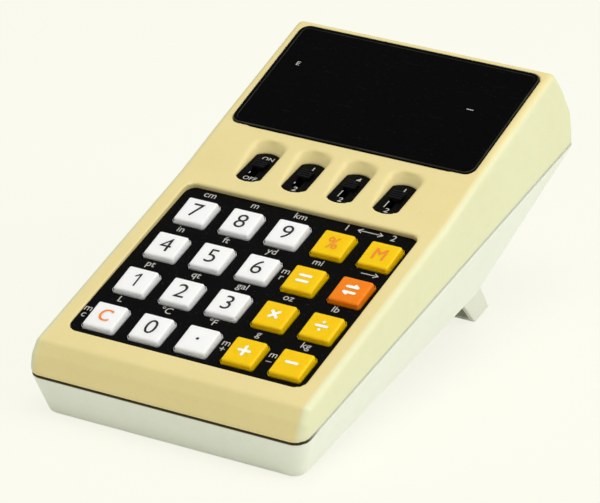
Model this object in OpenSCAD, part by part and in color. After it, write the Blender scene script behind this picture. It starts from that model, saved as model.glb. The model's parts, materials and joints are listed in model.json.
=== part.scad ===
// Desk calculator with a unit converter: wedge case in two shells, twenty keys,
// four slide switches and a swing-out tilt stand. Millimetres, +Z up, +Y to the rear.
// Every piece is drawn in the frame of the flat underside and then set on its stand.

/* [Keys] */
// Distance between key columns
key_pitch_x = 15.24; // [14.8:0.01:16.5]
// Distance between key rows
key_pitch_y = 16.5; // [16:0.1:18]
// Width of a key at its foot
key_w = 10.7; // [9:0.1:11.2]
// Length of a key at its foot
key_l = 10.6; // [9:0.1:11.2]
// Height of the key tops above the panel
key_rise = 2.3; // [1.8:0.1:3.5]
// How far each side of a key top is drawn in
key_draft = 0.45; // [0.2:0.05:0.8]
// Height of the plain foot of a key above the panel
key_foot = 0.4; // [0.2:0.1:0.8]
// Ledge between the foot and the cap of a key
key_ledge = 0.25; // [0.1:0.05:0.5]
// Radius of the corners of a key
key_r = 0.9; // [0.5:0.1:1.5]
// Travel of a key
key_travel = 1.0; // [0.6:0.1:1.4]

/* [Keypad panel] */
// Free strip of panel left of the keys
panel_left = 3.7; // [2.5:0.1:6]
// Free strip of panel right of the keys
panel_right = 1.7; // [1.5:0.1:5]
// Free strip of panel in front of the keys
panel_front = 1.6; // [1.5:0.1:4]
// Free strip of panel behind the keys
panel_rear = 5.7; // [3:0.1:9]
// Thickness of the panel
panel_t = 1.2; // [0.8:0.1:1.6]
// Corner radius of the panel
panel_r = 3.2; // [1.5:0.1:5]
// Distance from the front bottom edge to the panel
panel_y = 10.3; // [9.5:0.1:13]
// Height of the panel at its front edge
panel_z = 22.8; // [22.2:0.1:25]
// Slope of the panel against the underside, in degrees
panel_slope = 8.36; // [7:0.02:9]
// Depth of the panel below the deck at its front edge
panel_sink = 0.2; // [0.1:0.05:0.6]
// Width of the seat that carries the panel all round
panel_seat = 0.7; // [0.5:0.1:0.8]

/* [Case] */
// Width of the case beside the panel, on each side
case_border = 7; // [6.5:0.1:9]
// Length of the flat underside
base_len = 105.7; // [102:0.1:110]
// Overhang of the front end past the front bottom edge
nose = 2; // [1:0.1:3]
// Height of the parting line at the front
part_front_z = 13.25; // [12.5:0.05:14.5]
// Height of the parting line at the rear
part_rear_z = 25.6; // [23:0.1:27]
// How far each side of the underside is drawn in at the front
base_inset = 3.4; // [3:0.1:5]
// How much further each side of the underside is drawn in at the rear
base_taper = 2.2; // [0:0.1:2.5]
// Chamfer round the underside
base_chamfer = 0.8; // [0.4:0.1:1.2]
// Distance from the front bottom edge to the start of the deck
deck_y = 2.1; // [1.8:0.1:3]
// Slope of the key deck against the underside, in degrees
deck_slope = 9.6; // [9:0.1:10.5]
// Distance of the rounded brow of the front face from the front bottom edge
brow_y = 0.6; // [0.4:0.1:1]
// Height of the rounded brow of the front face
brow_z = 18.4; // [17.5:0.1:19]
// Rise of the display deck above the line of the key deck
display_rise = 1.5; // [1:0.1:2.5]
// Slope of the display deck against the underside, in degrees
display_slope = 12.3; // [10:0.1:14]
// Deck behind the display window
rear_border = 2.8; // [2.6:0.1:5]
// Overhang of the rear end past the top rear edge
tail = 6.4; // [6:0.1:8]
// Overhang of the rear wall halfway up, past the top rear edge
rear_bulge = 5.4; // [4.5:0.1:6]
// Corner radius of the case seen from above
corner_r = 4.6; // [4:0.1:6]
// Radius of the moulded top edges
edge_r = 2.2; // [2.1:0.1:2.8]
// Draft of the upper side walls, in degrees
side_draft = 4.5; // [3:0.1:5]
// Thickness of the moulded walls
wall = 2; // [1.6:0.1:2]
// Height of the shadow groove between the shells
groove_h = 0.6; // [0.4:0.1:1]
// Depth of the shadow groove between the shells
groove_d = 0.9; // [0.5:0.1:1.2]

/* [Display] */
// Case beside the window, on each side
window_border = 5; // [4.8:0.1:7]
// Length of the window
window_l = 45; // [38:0.5:50]
// Thickness of the window
window_t = 2; // [1.6:0.1:2.6]
// How far the window stands proud of the deck
window_proud = 0.4; // [0.2:0.1:0.8]
// Bevel round the window
window_bevel = 0.5; // [0.2:0.1:0.8]
// Corner radius of the window
window_r = 3.2; // [2:0.1:6]
// Width of the display tube
tube_w = 58; // [50:1:60]
// Length of the display tube
tube_l = 19; // [15:1:22]
// Thickness of the display tube
tube_t = 4; // [3:0.1:4.2]

/* [Slide switches] */
// Distance from the panel to the middle of the switches
switch_gap = 13; // [12:0.1:15]
// Distance from the middle of the switches to the window
window_gap = 13.3; // [13:0.1:16]
// Width of an oval pad opening
oval_w = 8.4; // [7:0.1:9.5]
// Length of an oval pad opening
oval_l = 15.2; // [14.5:0.1:15.8]
// Radius of the ends of an oval
oval_r = 6; // [5:0.1:6.2]
// Slope of the oval pads against the underside, in degrees
pad_slope = 4; // [3:0.1:5]
// Depth of a pad below the deck at its front end
pad_sink = 0.35; // [0.2:0.05:0.6]
// Height over which each finger scoop flares out from its oval
scoop_h = 3.2; // [2.8:0.1:4]
// Flare of a finger scoop on each side
scoop_side = 1.2; // [0.8:0.1:1.6]
// Flare of a finger scoop at the rear
scoop_rear = 2.4; // [1.8:0.1:2.6]
// Travel of a switch knob
knob_travel = 4.4; // [3:0.1:4.8]
// Width of a switch knob
knob_w = 4; // [3:0.1:5]
// Length of a switch knob
knob_l = 3.6; // [3:0.1:4]
// Height of a switch knob above its pad
knob_h = 1; // [0.8:0.1:1.6]

/* [Tilt stand] */
// Width of the stand
stand_w = 63.5; // [50:0.5:64]
// Length of the stand from its hinge
stand_len = 27.9; // [24:0.1:28.2]
// Radius of the stand round its hinge
stand_r = 6.1; // [5.5:0.1:6.6]
// Lean of the stand when it is out, in degrees
stand_lean = 23.5; // [18:0.5:28]
// Depth of the side flanges at the tip
stand_tip = 8.1; // [6:0.1:9]
// Slant of the tip
stand_slant = 2.7; // [1:0.1:4]
// Thickness of the stand's walls
stand_wall = 1.6; // [1.2:0.1:2.4]
// Radius of the hinge pin
pin_r = 1.5; // [1:0.1:2]

/* [Board and battery] */
// Depth of the board below the panel
board_drop = 8; // [7.6:0.1:8.6]
// Thickness of the circuit boards
board_t = 1.6; // [1:0.1:2]
// Height of a key dome
dome_h = 1.3; // [1:0.1:1.6]
// Radius of a key dome
dome_r = 4.5; // [3.5:0.1:5]
// Length of the battery
battery_w = 48.5; // [44:0.5:49]
// Width of the battery
battery_l = 26.5; // [24:0.5:26.5]
// Height of the battery
battery_h = 17.5; // [15:0.5:18]
// Width of the battery door
door_w = 60; // [58:1:64]
// Length of the battery door
door_l = 31; // [30.5:0.5:33]
// Distance of the battery door from the underside, up the rear slope
door_s = 15; // [14.5:0.5:17]
// Thickness of the battery door
door_t = 1.8; // [1.4:0.1:2]
// Length of the case screws
screw_len = 15; // [13:0.5:16]
// Radius of the case screws
screw_r = 1.3; // [1:0.1:1.5]

/* [Hidden] */
$fn = 48;
// Facets of the round corners that are blended into shells
blend_fn = 32;
// Running clearance, seat clearance and a thin layer for blends
gap = 0.3;
pin_gap = 0.05;
thin = 0.02;
far = 300;
reach = 15;

key_rows = 4;
key_cols = 5;
panel_w = (key_cols - 1) * key_pitch_x + key_w + panel_left + panel_right;
panel_l = (key_rows - 1) * key_pitch_y + key_l + panel_front + panel_rear;
case_half = panel_w / 2 + case_border;
panel_end = panel_y + panel_l * cos(panel_slope);
switch_y = panel_end + switch_gap;
window_y = switch_y + window_gap;
window_w = 2 * (case_half - window_border);
top_rear_y = window_y + window_l * cos(display_slope) + rear_border;
case_reach = top_rear_y + tail;

// Height of the key deck and of the display deck over the underside
function deck_z(y) = panel_z + panel_sink + (y - panel_y) * tan(deck_slope);
window_z = deck_z(window_y) + display_rise;
function display_z(y) = window_z + (y - window_y) * tan(display_slope);

// The ramp between the two decks starts among the switches and ends before the window
foot_y = switch_y - 4;
crest_y = window_y - 1.2;

// Height of the ramp between the decks
function ramp_z(y) = deck_z(foot_y)
    + (y - foot_y) / (crest_y - foot_y) * (display_z(crest_y) - deck_z(foot_y));
// Turn of the outer faces at the brow and at two heights of the rear wall, from +Z towards the rear
brow_turn = -56;
rear_turns = [58, 77];
rear_shares = [0.72, 0.36];
rear_bulges = [0.58 * rear_bulge, 1.12 * rear_bulge];

// Parting plane
part_slope = atan2(part_rear_z - part_front_z, case_reach + nose);
part_len = norm([case_reach + nose, part_rear_z - part_front_z]);
function part_z(y) = part_front_z + (y + nose) * tan(part_slope);
band = 1;

// Rear slope of the underside
rear_slope = atan2(part_rear_z - band - base_chamfer, case_reach - base_len);

// Stand: hinge, tip and the tilt that it gives to the case
hinge_y = base_len + gap;
pocket_wall = 1.6;
tip_room = 0.8;
hinge_z = stand_r;
tip_u = stand_len - stand_slant;
tip_w = stand_tip - stand_r;
tip_y = hinge_y + tip_u * sin(stand_lean) - tip_w * cos(stand_lean);
tip_z = hinge_z - tip_u * cos(stand_lean) - tip_w * sin(stand_lean);
case_tilt = atan2(-tip_z, tip_y - base_chamfer);
front_reach = -(nose + band * sin(part_slope)) * cos(case_tilt)
    - (part_front_z + band * cos(part_slope)) * sin(case_tilt);
rear_reach = (case_reach + band * sin(part_slope)) * cos(case_tilt)
    - (part_rear_z - band * cos(part_slope)) * sin(case_tilt);
mid_y = (front_reach + rear_reach) / 2;

// Frame under the panel and plate under the window
frame_t = 1.5;
frame_over = 2.5;
window_seat = window_t - window_proud;
plate_t = 1.6;
plate_bite = 0.2;
tube_room = 2.5;
display_drop = window_seat + tube_t + 0.9;
display_post_r = 2;
display_post_in = [4.5, 6];
lead_pitch = 2.54;
ribbon_half = 12;
ribbon_t = 0.8;
ribbon_start = 1.5;
ribbon_end = 7.5;

// Keys and what lies under them, measured down from the panel's face
flange_top = panel_t + gap;
flange_t = 0.8;
flange_reach = min(1.1, panel_front - panel_seat - gap);
stem_r = 2.4;
stem_end = board_drop - dome_h - gap;
board_half = case_half - wall - 2.5;
board_front = -5;
board_rear = (window_y + 1.3 - panel_y) / cos(panel_slope);

// What is soldered under the board
chip = [36, 14, 4];
chip_y = 48;
chip_lift = 1;
coil_y = 29;
coil_r = 5.5;
coil_wire = 2.5;
capacitor_x = 24;
capacitor_h = 9;
capacitor_r = 4;

// Switches
oval_front = switch_y - oval_l / 2;
pad_z = deck_z(oval_front) - pad_sink;
switch_pitch = key_pitch_x;
switch_count = 4;
pad_depth = 3;
carrier_t = 1.2;
carrier_half = (switch_count - 1) / 2 * switch_pitch + oval_w / 2 + 4;
carrier_front = -2.6;
carrier_rear = oval_l + 2.6;
knob_stem_w = 2;
knob_stem_l = 2.8;
knob_rest = oval_l / 2 + knob_travel / 2 - 0.9;
knob_dip = 1.2;
switch_body = [8, 12];
function pad_point_y(s) = oval_front + s * cos(pad_slope) + pad_depth * sin(pad_slope);
function pad_point_z(s) = pad_z + s * sin(pad_slope) - pad_depth * cos(pad_slope);

// Case screws: two in front of the keys, two beside the stand
screw_x = [33, 35.8];
screw_y = [6.7, switch_y + 7];
screw_bite = 6;
head_r = 2.3;
head_h = 1.8;
boss_r = 2.6;
post_r = 3.2;
function board_z(y, down) = panel_z + (y - panel_y) * tan(panel_slope) - down / cos(panel_slope);
screw_play = 0.2;
function screw_seat(y) = board_z(y, board_drop) + screw_bite - screw_len;

// Battery compartment on the rear slope
door_ledge = 1.5;
door_seat_t = 1.6;
door_frame = 2;
cell_wall = 1.4;
cell_h = 13;
cell_half = door_w / 2 - door_ledge;
battery_s = door_s + door_l / 2;
battery_x = -3.4;
terminal_h = 2.5;
terminal_gap = 6.35;
terminal_r = [4, 3];
snap_t = 5;
snap_size = [11, 24];
snap_x = battery_x + battery_w / 2 + 0.1;
lead_r = 0.6;
lead_apart = 3;
lead_out = 1.5;
lead_climb = [0, -5, 8];
lead_bend = [0, 6, 4];
lead_rise = 3;
lead_land = 3;
wire_side = [1, 0.3, -0.4];

// Legends of the keys from the rear row to the front row, as node names
KEY_NAMES = [
    ["key_7", "key_8", "key_9", "key_percent", "key_memory"],
    ["key_4", "key_5", "key_6", "key_equals", "key_convert"],
    ["key_1", "key_2", "key_3", "key_times", "key_divide"],
    ["key_clear", "key_0", "key_point", "key_plus", "key_minus"]
];
KNOB_NAMES = ["knob_power", "knob_system", "knob_places", "knob_mile"];

// Frames

// Sets the case on its stand, with the origin under the middle of the whole
module on_stand() {
    translate([0, -mid_y, -base_chamfer * sin(case_tilt)]) rotate([case_tilt, 0, 0]) children();
}

module on_parting() {
    translate([0, -nose, part_front_z]) rotate([part_slope, 0, 0]) children();
}

module on_panel() {
    translate([0, panel_y, panel_z]) rotate([panel_slope, 0, 0]) children();
}

module on_pads() {
    translate([0, oval_front, pad_z]) rotate([pad_slope, 0, 0]) children();
}

module on_window() {
    translate([0, window_y, window_z]) rotate([display_slope, 0, 0]) children();
}

module on_slope() {
    translate([0, base_len, base_chamfer]) rotate([rear_slope, 0, 0]) children();
}

// The stand's own frame: X to the tip, Y to the front, Z across
module on_hinge() {
    translate([0, hinge_y, hinge_z]) rotate([0, 90, 0]) rotate([0, 0, stand_lean]) mirror([0, 1, 0])
        children();
}

module at_key(row, col) {
    x = (col - (key_cols - 1) / 2) * key_pitch_x + (panel_left - panel_right) / 2;
    y = panel_front + key_l / 2 + (key_rows - 1 - row) * key_pitch_y;
    on_panel() translate([x, y, 0]) children();
}

module at_switches() {
    for (i = [0 : switch_count - 1]) at_switch(i) children();
}

module at_switch(i) {
    on_pads() translate([(i - (switch_count - 1) / 2) * switch_pitch, 0, 0]) children();
}

module at_screws() {
    for (i = [0, 1], side = [-1, 1]) translate([side * screw_x[i], screw_y[i], 0]) children();
}

// Flat shapes

module round_rect(w, l, r) {
    union() {
        square([w - 2 * r, l], center = true);
        square([w, l - 2 * r], center = true);
        for (x = [-1, 1], y = [-1, 1]) translate([x * (w / 2 - r), y * (l / 2 - r)]) circle(r);
    }
}

// An oval with straight sides and flatly rounded ends, from y = 0
module oval(w, l, r) {
    translate([0, l / 2]) intersection() {
        square([w, l], center = true);
        union() {
            for (y = [-1, 1]) translate([0, y * (l / 2 - r)]) circle(r);
            square([w, l - r], center = true);
        }
    }
}

module side_extrude(half) {
    translate([-half, 0, 0]) rotate([90, 0, 90]) linear_extrude(2 * half) children();
}

// Case forms

// Layer of the case at the parting line, drawn in by inset
module parting_layer(inset, low, high) {
    on_parting() translate([0, part_len / 2, low]) linear_extrude(high - low)
        round_rect(2 * (case_half - inset), part_len - 2 * inset, max(corner_r - inset, 1), $fn = blend_fn);
}

// A pair of balls that touch the outer face at [y, z], where its normal leans by turn from +Z
module edge_pair(y, z, turn, inset) {
    r = max(edge_r - inset, 0.2);
    ball_y = y - edge_r * sin(turn);
    ball_z = z - edge_r * cos(turn);
    ball_x = case_half - (ball_z - part_z(ball_y)) * tan(side_draft) - edge_r / cos(side_draft);
    for (side = [-1, 1]) translate([side * ball_x, ball_y, ball_z]) sphere(r, $fn = inset > 0 ? 8 : blend_fn);
}

// The outer form of the upper shell, or its hollow when drawn in by the wall
module upper_form(inset) {
    low = inset > 0 ? -1 : 0;
    hull() {
        edge_pair(deck_y + edge_r, deck_z(deck_y + edge_r), -deck_slope, inset);
        edge_pair(brow_y, brow_z, brow_turn, inset);
        edge_pair(foot_y, deck_z(foot_y), -deck_slope, inset);
        parting_layer(inset, low, band);
    }
    hull() {
        edge_pair(foot_y, deck_z(foot_y), -deck_slope, inset);
        edge_pair(crest_y, display_z(crest_y), -display_slope, inset);
        edge_pair(top_rear_y - edge_r, display_z(top_rear_y - edge_r), -display_slope, inset);
        for (i = [0, 1])
            edge_pair(top_rear_y + rear_bulges[i], part_rear_z
                + rear_shares[i] * (display_z(top_rear_y) - part_rear_z), rear_turns[i], inset);
        parting_layer(inset, low, band);
    }
}

// Corners of a layer of the underside, which narrows to the rear
module base_layer(inset, z) {
    r = max(corner_r - 0.7 - inset, 1);
    half = case_half - base_inset - inset - r;
    translate([0, 0, z]) linear_extrude(thin) for (side = [-1, 1]) {
        translate([side * half, inset + r]) circle(r, $fn = blend_fn);
        translate([side * (half - base_taper), base_len - inset - r]) circle(r, $fn = blend_fn);
    }
}

module lower_form(inset) {
    hull() {
        parting_layer(inset, -band, inset > 0 ? 1 : 0);
        base_layer(inset, max(base_chamfer, inset));
        if (inset == 0) base_layer(base_chamfer, 0);
    }
}

// Side view of the room that the stand needs, with a margin all round
module stand_room(margin) {
    back = stand_r + margin;
    front = hinge_y - stand_len - margin - tip_room;
    polygon([
        [front, -1],
        [front, hinge_z + tip_w + margin + tip_room],
        [hinge_y, hinge_z + back],
        [hinge_y + back * cos(stand_lean), hinge_z + back * sin(stand_lean)],
        [hinge_y + back * cos(stand_lean) + reach * sin(stand_lean),
            hinge_z + back * sin(stand_lean) - reach * cos(stand_lean)]
    ]);
    translate([hinge_y, hinge_z]) circle(back);
}

// Shells

module upper_case() color("#ecdca5") on_stand() difference() {
    union() {
        difference() {
            upper_form(0);
            upper_form(wall);
        }
        // Frame that carries the panel
        on_panel() translate([0, panel_l / 2, -panel_t - frame_t]) linear_extrude(panel_t + frame_t)
            square([panel_w + 2 * frame_over, panel_l + 2 * frame_over], center = true);
        // Plate that carries the window and the posts of the display board
        on_window() translate([0, window_l / 2, -window_seat - plate_t]) linear_extrude(plate_t + plate_bite)
            square([window_w + 1, window_l + 1], center = true);
        on_window() at_display_posts() cylinder(h = display_drop - window_seat, r = display_post_r);
        // Thick deck round the oval pads
        side_extrude(carrier_half) polygon([
            for (s = [carrier_front, carrier_rear]) [pad_point_y(s), pad_point_z(s)],
            [pad_point_y(carrier_rear), ramp_z(pad_point_y(carrier_rear)) - wall / 2],
            [foot_y, deck_z(foot_y) - wall / 2],
            [pad_point_y(carrier_front), deck_z(pad_point_y(carrier_front)) - wall / 2]
        ]);
        // Screw bosses down to the board
        intersection() {
            at_screws() cylinder(h = far, r = boss_r);
            side_extrude(case_half) polygon([
                [0, board_z(0, board_drop)],
                [crest_y, board_z(crest_y, board_drop)],
                [crest_y, deck_z(crest_y) - wall / 2],
                [0, deck_z(0) - wall / 2]
            ]);
        }
    }
    // Seat of the panel and the opening for the keys
    on_panel() translate([0, panel_l / 2, -panel_t]) linear_extrude(far)
        round_rect(panel_w + gap, panel_l + gap, panel_r);
    on_panel() translate([0, panel_l / 2, -far / 2]) linear_extrude(far)
        square([panel_w - 2 * panel_seat, panel_l - 2 * panel_seat], center = true);
    // Seat of the window and the opening for the display tube
    on_window() translate([0, window_l / 2, -window_seat]) linear_extrude(far)
        round_rect(window_w + gap, window_l + gap, window_r);
    on_window() translate([0, window_l / 2, -reach]) linear_extrude(far)
        square([tube_w + 2 * tube_room, tube_l + 2 * tube_room], center = true);
    // Ovals of the switches and the finger scoop behind each
    at_switches() {
        translate([0, 0, -reach]) linear_extrude(far) oval(oval_w, oval_l, oval_r);
        linear_extrude(scoop_h, scale = [1 + 2 * scoop_side / oval_w, 1 + scoop_rear / oval_l], slices = 1)
            oval(oval_w, oval_l, oval_r, $fn = 2 * blend_fn);
    }
    // Pilot holes of the screws
    for (i = [0, 1], side = [-1, 1])
        translate([side * screw_x[i], screw_y[i], screw_seat(screw_y[i])])
            cylinder(h = screw_len + gap, r = screw_r + pin_gap);
    door_room();
}

// Room for the battery door in the shells
module door_room() {
    on_slope() translate([0, battery_s, -reach]) linear_extrude(reach + door_t)
        square([door_w + 2 * gap, door_l + 2 * gap], center = true);
}

module at_display_posts() {
    for (x = [-1, 1], y = [display_post_in[1], window_l - display_post_in[1]])
        translate([x * (window_w / 2 - display_post_in[0]), y, -display_drop]) children();
}

module lower_case() color("#e6e6dc") on_stand() difference() {
    union() {
        difference() {
            lower_form(0);
            lower_form(wall);
        }
        // Pocket of the stand
        intersection() {
            lower_form(0);
            side_extrude(stand_w / 2 + gap + wall) stand_room(gap + pocket_wall);
        }
        // Screw posts up to the board
        intersection() {
            translate([0, 0, wall / 2]) at_screws() cylinder(h = far, r = post_r);
            side_extrude(case_half) polygon([
                [0, 0],
                [crest_y, 0],
                [crest_y, board_z(crest_y, board_drop + board_t)],
                [0, board_z(0, board_drop + board_t)]
            ]);
        }
        // Ledge of the battery door and the walls of the battery compartment
        on_slope() translate([0, battery_s, wall / 2]) linear_extrude(door_t + door_seat_t - wall / 2)
            square([door_w + 2 * door_frame, door_l + 2 * door_frame], center = true);
        on_slope() translate([0, battery_s, wall / 2]) linear_extrude(cell_h)
            square([2 * (cell_half + cell_wall), door_l - 2 * door_ledge + 2 * cell_wall], center = true);
    }
    // Shadow groove below the upper shell
    difference() {
        parting_layer(-1, -groove_h, 1);
        parting_layer(groove_d, -groove_h - 1, 2);
    }
    side_extrude(stand_w / 2 + gap) stand_room(gap);
    translate([0, hinge_y, hinge_z]) rotate([0, 90, 0])
        cylinder(h = stand_w + 2 * wall + 2, r = pin_r + pin_gap / 2, center = true);
    // Wells and holes of the screws
    for (i = [0, 1], side = [-1, 1]) translate([side * screw_x[i], screw_y[i], 0]) {
        translate([0, 0, -1]) cylinder(h = screw_seat(screw_y[i]) + 1, r = head_r + screw_play);
        cylinder(h = far, r = screw_r + screw_play);
    }
    // Opening for the battery, with the seat of its door
    door_room();
    on_slope() translate([0, battery_s, 0]) linear_extrude(far)
        square([2 * cell_half, door_l - 2 * door_ledge], center = true);
}

module case_screws() color("#9a9a98") on_stand() {
    for (i = [0, 1], side = [-1, 1]) translate([side * screw_x[i], screw_y[i], screw_seat(screw_y[i])]) {
        cylinder(h = screw_len, r = screw_r);
        difference() {
            translate([0, 0, -head_h]) cylinder(h = head_h, r = head_r);
            for (turn = [0, 90]) rotate(turn) translate([-head_r * 0.7, -0.3, -head_h - 1])
                cube([head_r * 1.4, 0.6, 1.8]);
        }
    }
}

// Display

module display_window() color("#0c0c0e") on_stand() on_window() translate([0, window_l / 2, -window_seat]) {
    linear_extrude(window_t - window_bevel) round_rect(window_w, window_l, window_r);
    hull() {
        translate([0, 0, window_t - window_bevel - thin]) linear_extrude(thin)
            round_rect(window_w, window_l, window_r, $fn = blend_fn);
        translate([0, 0, window_t - thin]) linear_extrude(thin)
            round_rect(window_w - 2 * window_bevel, window_l - 2 * window_bevel, window_r - window_bevel,
                $fn = blend_fn);
    }
}

module display_board() color("#2f6b3c") on_stand() on_window()
    translate([0, window_l / 2, -display_drop - board_t]) linear_extrude(board_t)
        round_rect(window_w - 4, window_l - 6, 1.5);

// Flat glass tube with its end seal and the row of pins along the front
module display_tube() color("#3a4a48") on_stand() on_window() translate([0, window_l / 2, -display_drop]) {
    linear_extrude(tube_t) round_rect(tube_w, tube_l, 1.5);
    translate([tube_w / 2 - 0.5, 0, tube_t / 2]) rotate([0, 90, 0]) cylinder(h = 2, r = 1.3);
    for (i = [-8 : 8]) translate([i * lead_pitch, -tube_l / 2 - 1, 0]) cylinder(h = 1.6, r = 0.35);
}

// Keypad

module keypad_panel() color("#17171a") on_stand() difference() {
    on_panel() translate([0, panel_l / 2, -panel_t]) linear_extrude(panel_t)
        round_rect(panel_w, panel_l, panel_r);
    for (row = [0 : key_rows - 1], col = [0 : key_cols - 1]) at_key(row, col)
        translate([0, 0, -panel_t - 1]) linear_extrude(panel_t + 2)
            round_rect(key_w + 2 * gap, key_l + 2 * gap, key_r);
}

// A moulded key: drawn-in cap, foot in the panel's opening, flange below it and a stem to the dome
module moulded_key() {
    cap_w = key_w - 2 * key_ledge;
    cap_l = key_l - 2 * key_ledge;
    lip = min(0.35, key_draft);
    top_w = cap_w - 2 * key_draft;
    top_l = cap_l - 2 * key_draft;
    hull() {
        translate([0, 0, key_foot - thin]) linear_extrude(thin)
            round_rect(cap_w, cap_l, key_r, $fn = blend_fn);
        translate([0, 0, key_rise - lip]) linear_extrude(thin)
            round_rect(top_w, top_l, key_r, $fn = blend_fn);
        translate([0, 0, key_rise - thin]) linear_extrude(thin)
            round_rect(top_w - lip, top_l - lip, key_r - lip / 2, $fn = blend_fn);
    }
    translate([0, 0, -flange_top]) linear_extrude(flange_top + key_foot) round_rect(key_w, key_l, key_r);
    translate([0, 0, -flange_top - flange_t]) linear_extrude(flange_t)
        square([key_w, key_l + 2 * flange_reach], center = true);
    translate([0, 0, -stem_end]) cylinder(h = stem_end - flange_top, r = stem_r);
}

function key_colour(row, col) =
    row == 1 && col == 4 ? "#f27d1a" : col > 2 ? "#f9c61c" : "#fbfbf6";

module key(row, col) color(key_colour(row, col)) on_stand() at_key(row, col) moulded_key();

module key_domes() color("#c9cbc8") on_stand() {
    ball = (dome_r * dome_r + dome_h * dome_h) / (2 * dome_h);
    skin = 0.25;
    for (row = [0 : key_rows - 1], col = [0 : key_cols - 1]) at_key(row, col)
        translate([0, 0, -board_drop]) intersection() {
            difference() {
                translate([0, 0, dome_h - ball]) sphere(ball);
                translate([0, 0, dome_h - ball]) sphere(ball - skin);
            }
            cylinder(h = dome_h + 1, r = dome_r + 1);
        }
}

module main_board() color("#2f6b3c") on_stand() difference() {
    on_panel() translate([0, (board_front + board_rear) / 2, -board_drop - board_t]) linear_extrude(board_t)
        round_rect(2 * board_half, board_rear - board_front, 2);
    at_screws() cylinder(h = far, r = screw_r + screw_play);
}

// Chip in a long case with two rows of legs, under the board
module processor_chip() color("#26262a") on_stand() on_panel() {
    leg = [0.6, 0.5, chip[2] / 2 + chip_lift];
    translate([0, chip_y, -board_drop - board_t - chip_lift]) {
        translate([-chip[0] / 2, -chip[1] / 2, -chip[2]]) cube(chip);
        for (i = [-6.5 : 6.5], side = [-1, 1])
            translate([i * lead_pitch - leg[0] / 2, (side * (chip[1] + leg[1]) - leg[1]) / 2,
                chip_lift - leg[2]]) cube(leg);
    }
}

// Two capacitors and the coil of the voltage converter, under the board
module circuit_parts() color("#4f5f86") on_stand() on_panel() translate([0, 0, -board_drop - board_t]) {
    for (side = [-1, 1]) translate([side * capacitor_x, coil_y, -capacitor_h])
        cylinder(h = capacitor_h, r = capacitor_r);
    translate([0, coil_y, -coil_wire]) rotate_extrude() translate([coil_r, 0]) circle(coil_wire);
}

// Slide switches

module switch_plate() color("#17171a") on_stand() difference() {
    union() {
        at_switches() translate([0, 0, -pad_depth - carrier_t / 2]) linear_extrude(pad_depth + carrier_t / 2)
            translate([0, gap / 2]) oval(oval_w - gap, oval_l - gap, oval_r - gap / 2);
        on_pads() translate([-carrier_half, carrier_front, -pad_depth - carrier_t])
            cube([2 * carrier_half, carrier_rear - carrier_front, carrier_t]);
    }
    at_switches() stem_slot(far / 2);
}

// Room for the stem of a knob over its travel, down to a depth under the pad
module stem_slot(depth) {
    translate([-knob_stem_w / 2 - gap, knob_rest - knob_travel - knob_stem_l / 2 - gap, -depth])
        cube([knob_stem_w + 2 * gap, knob_travel + knob_stem_l + 2 * gap, far]);
}

// Ribbed knob with a stem that reaches through the pad into the switch
module switch_knob(i) color("#3b3b40") on_stand() at_switch(i) translate([0, knob_rest, 0]) difference() {
    union() {
        translate([-knob_w / 2, -knob_l / 2, gap]) cube([knob_w, knob_l, knob_h - gap]);
        translate([-knob_stem_w / 2, -knob_stem_l / 2, -pad_depth - carrier_t - knob_dip])
            cube([knob_stem_w, knob_stem_l, pad_depth + carrier_t + knob_dip + gap]);
    }
    for (y = [-1 : 1]) translate([-knob_w, y * knob_l / 3.6 - 0.2, knob_h - 0.4]) cube([2 * knob_w, 0.4, 1]);
}

module switch_bodies() color("#8d9094") on_stand() {
    for (i = [0 : switch_count - 1]) difference() {
        intersection() {
            on_panel() translate([(i - (switch_count - 1) / 2) * switch_pitch,
                (switch_y - panel_y) / cos(panel_slope), -board_drop]) linear_extrude(board_drop)
                square(switch_body, center = true);
            on_pads() translate([-far / 2, -far / 2, -far - pad_depth - carrier_t - gap]) cube(far);
        }
        at_switch(i) stem_slot(pad_depth + carrier_t + knob_dip + gap);
    }
}

// Flat cable from the main board up to the display board
module ribbon_cable() color("#b8b4a8") on_stand() {
    start = window_y - ribbon_start;
    end = window_y + ribbon_end;
    under = (display_drop + board_t) / cos(display_slope);
    side_extrude(ribbon_half) polygon([
        [start, board_z(start, board_drop)],
        [start + ribbon_t, board_z(start + ribbon_t, board_drop)],
        [end + ribbon_t, display_z(end + ribbon_t) - under],
        [end, display_z(end) - under]
    ]);
}

// Tilt stand

// Side view of the stand in its own frame
module stand_side() {
    circle(stand_r);
    polygon([[0, -stand_r], [stand_len, -stand_r], [tip_u, tip_w], [0, stand_r]]);
}

// Channel with its plate to the rear, two flanges and a tip wall, open to the front
module tilt_stand() color("#e9e7d6") on_stand() on_hinge() difference() {
    translate([0, 0, -stand_w / 2]) linear_extrude(stand_w) stand_side();
    translate([0, 0, -stand_w / 2 + stand_wall]) linear_extrude(stand_w - 2 * stand_wall) {
        tip_t = (1.1 + stand_slant / stand_tip) * stand_wall;
        polygon([
            [-2 * stand_r, -stand_r + stand_wall],
            [stand_len - tip_t, -stand_r + stand_wall],
            [tip_u - tip_t, tip_w + stand_wall],
            [tip_u - tip_t, 3 * stand_r],
            [-2 * stand_r, 3 * stand_r]
        ]);
        translate([-2 * stand_r, -2 * stand_r]) square([2 * stand_r, 4 * stand_r]);
    }
    translate([0, 0, -stand_w]) cylinder(h = 2 * stand_w, r = pin_r + pin_gap);
}

module stand_pin() color("#b9bcc0") on_stand() translate([0, hinge_y, hinge_z]) rotate([0, 90, 0])
    cylinder(h = stand_w + 2 * gap + 2 * wall, r = pin_r, center = true);

// Battery

// Plate with finger ridges, flush with the rear slope
module battery_door() color("#e6e6dc") on_stand() on_slope() difference() {
    translate([0, battery_s, 0]) linear_extrude(door_t) round_rect(door_w, door_l, 1.2);
    for (i = [0 : 4]) translate([-9, door_s + 3 + i * 1.6, -1]) cube([18, 0.8, 1.5]);
}

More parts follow.
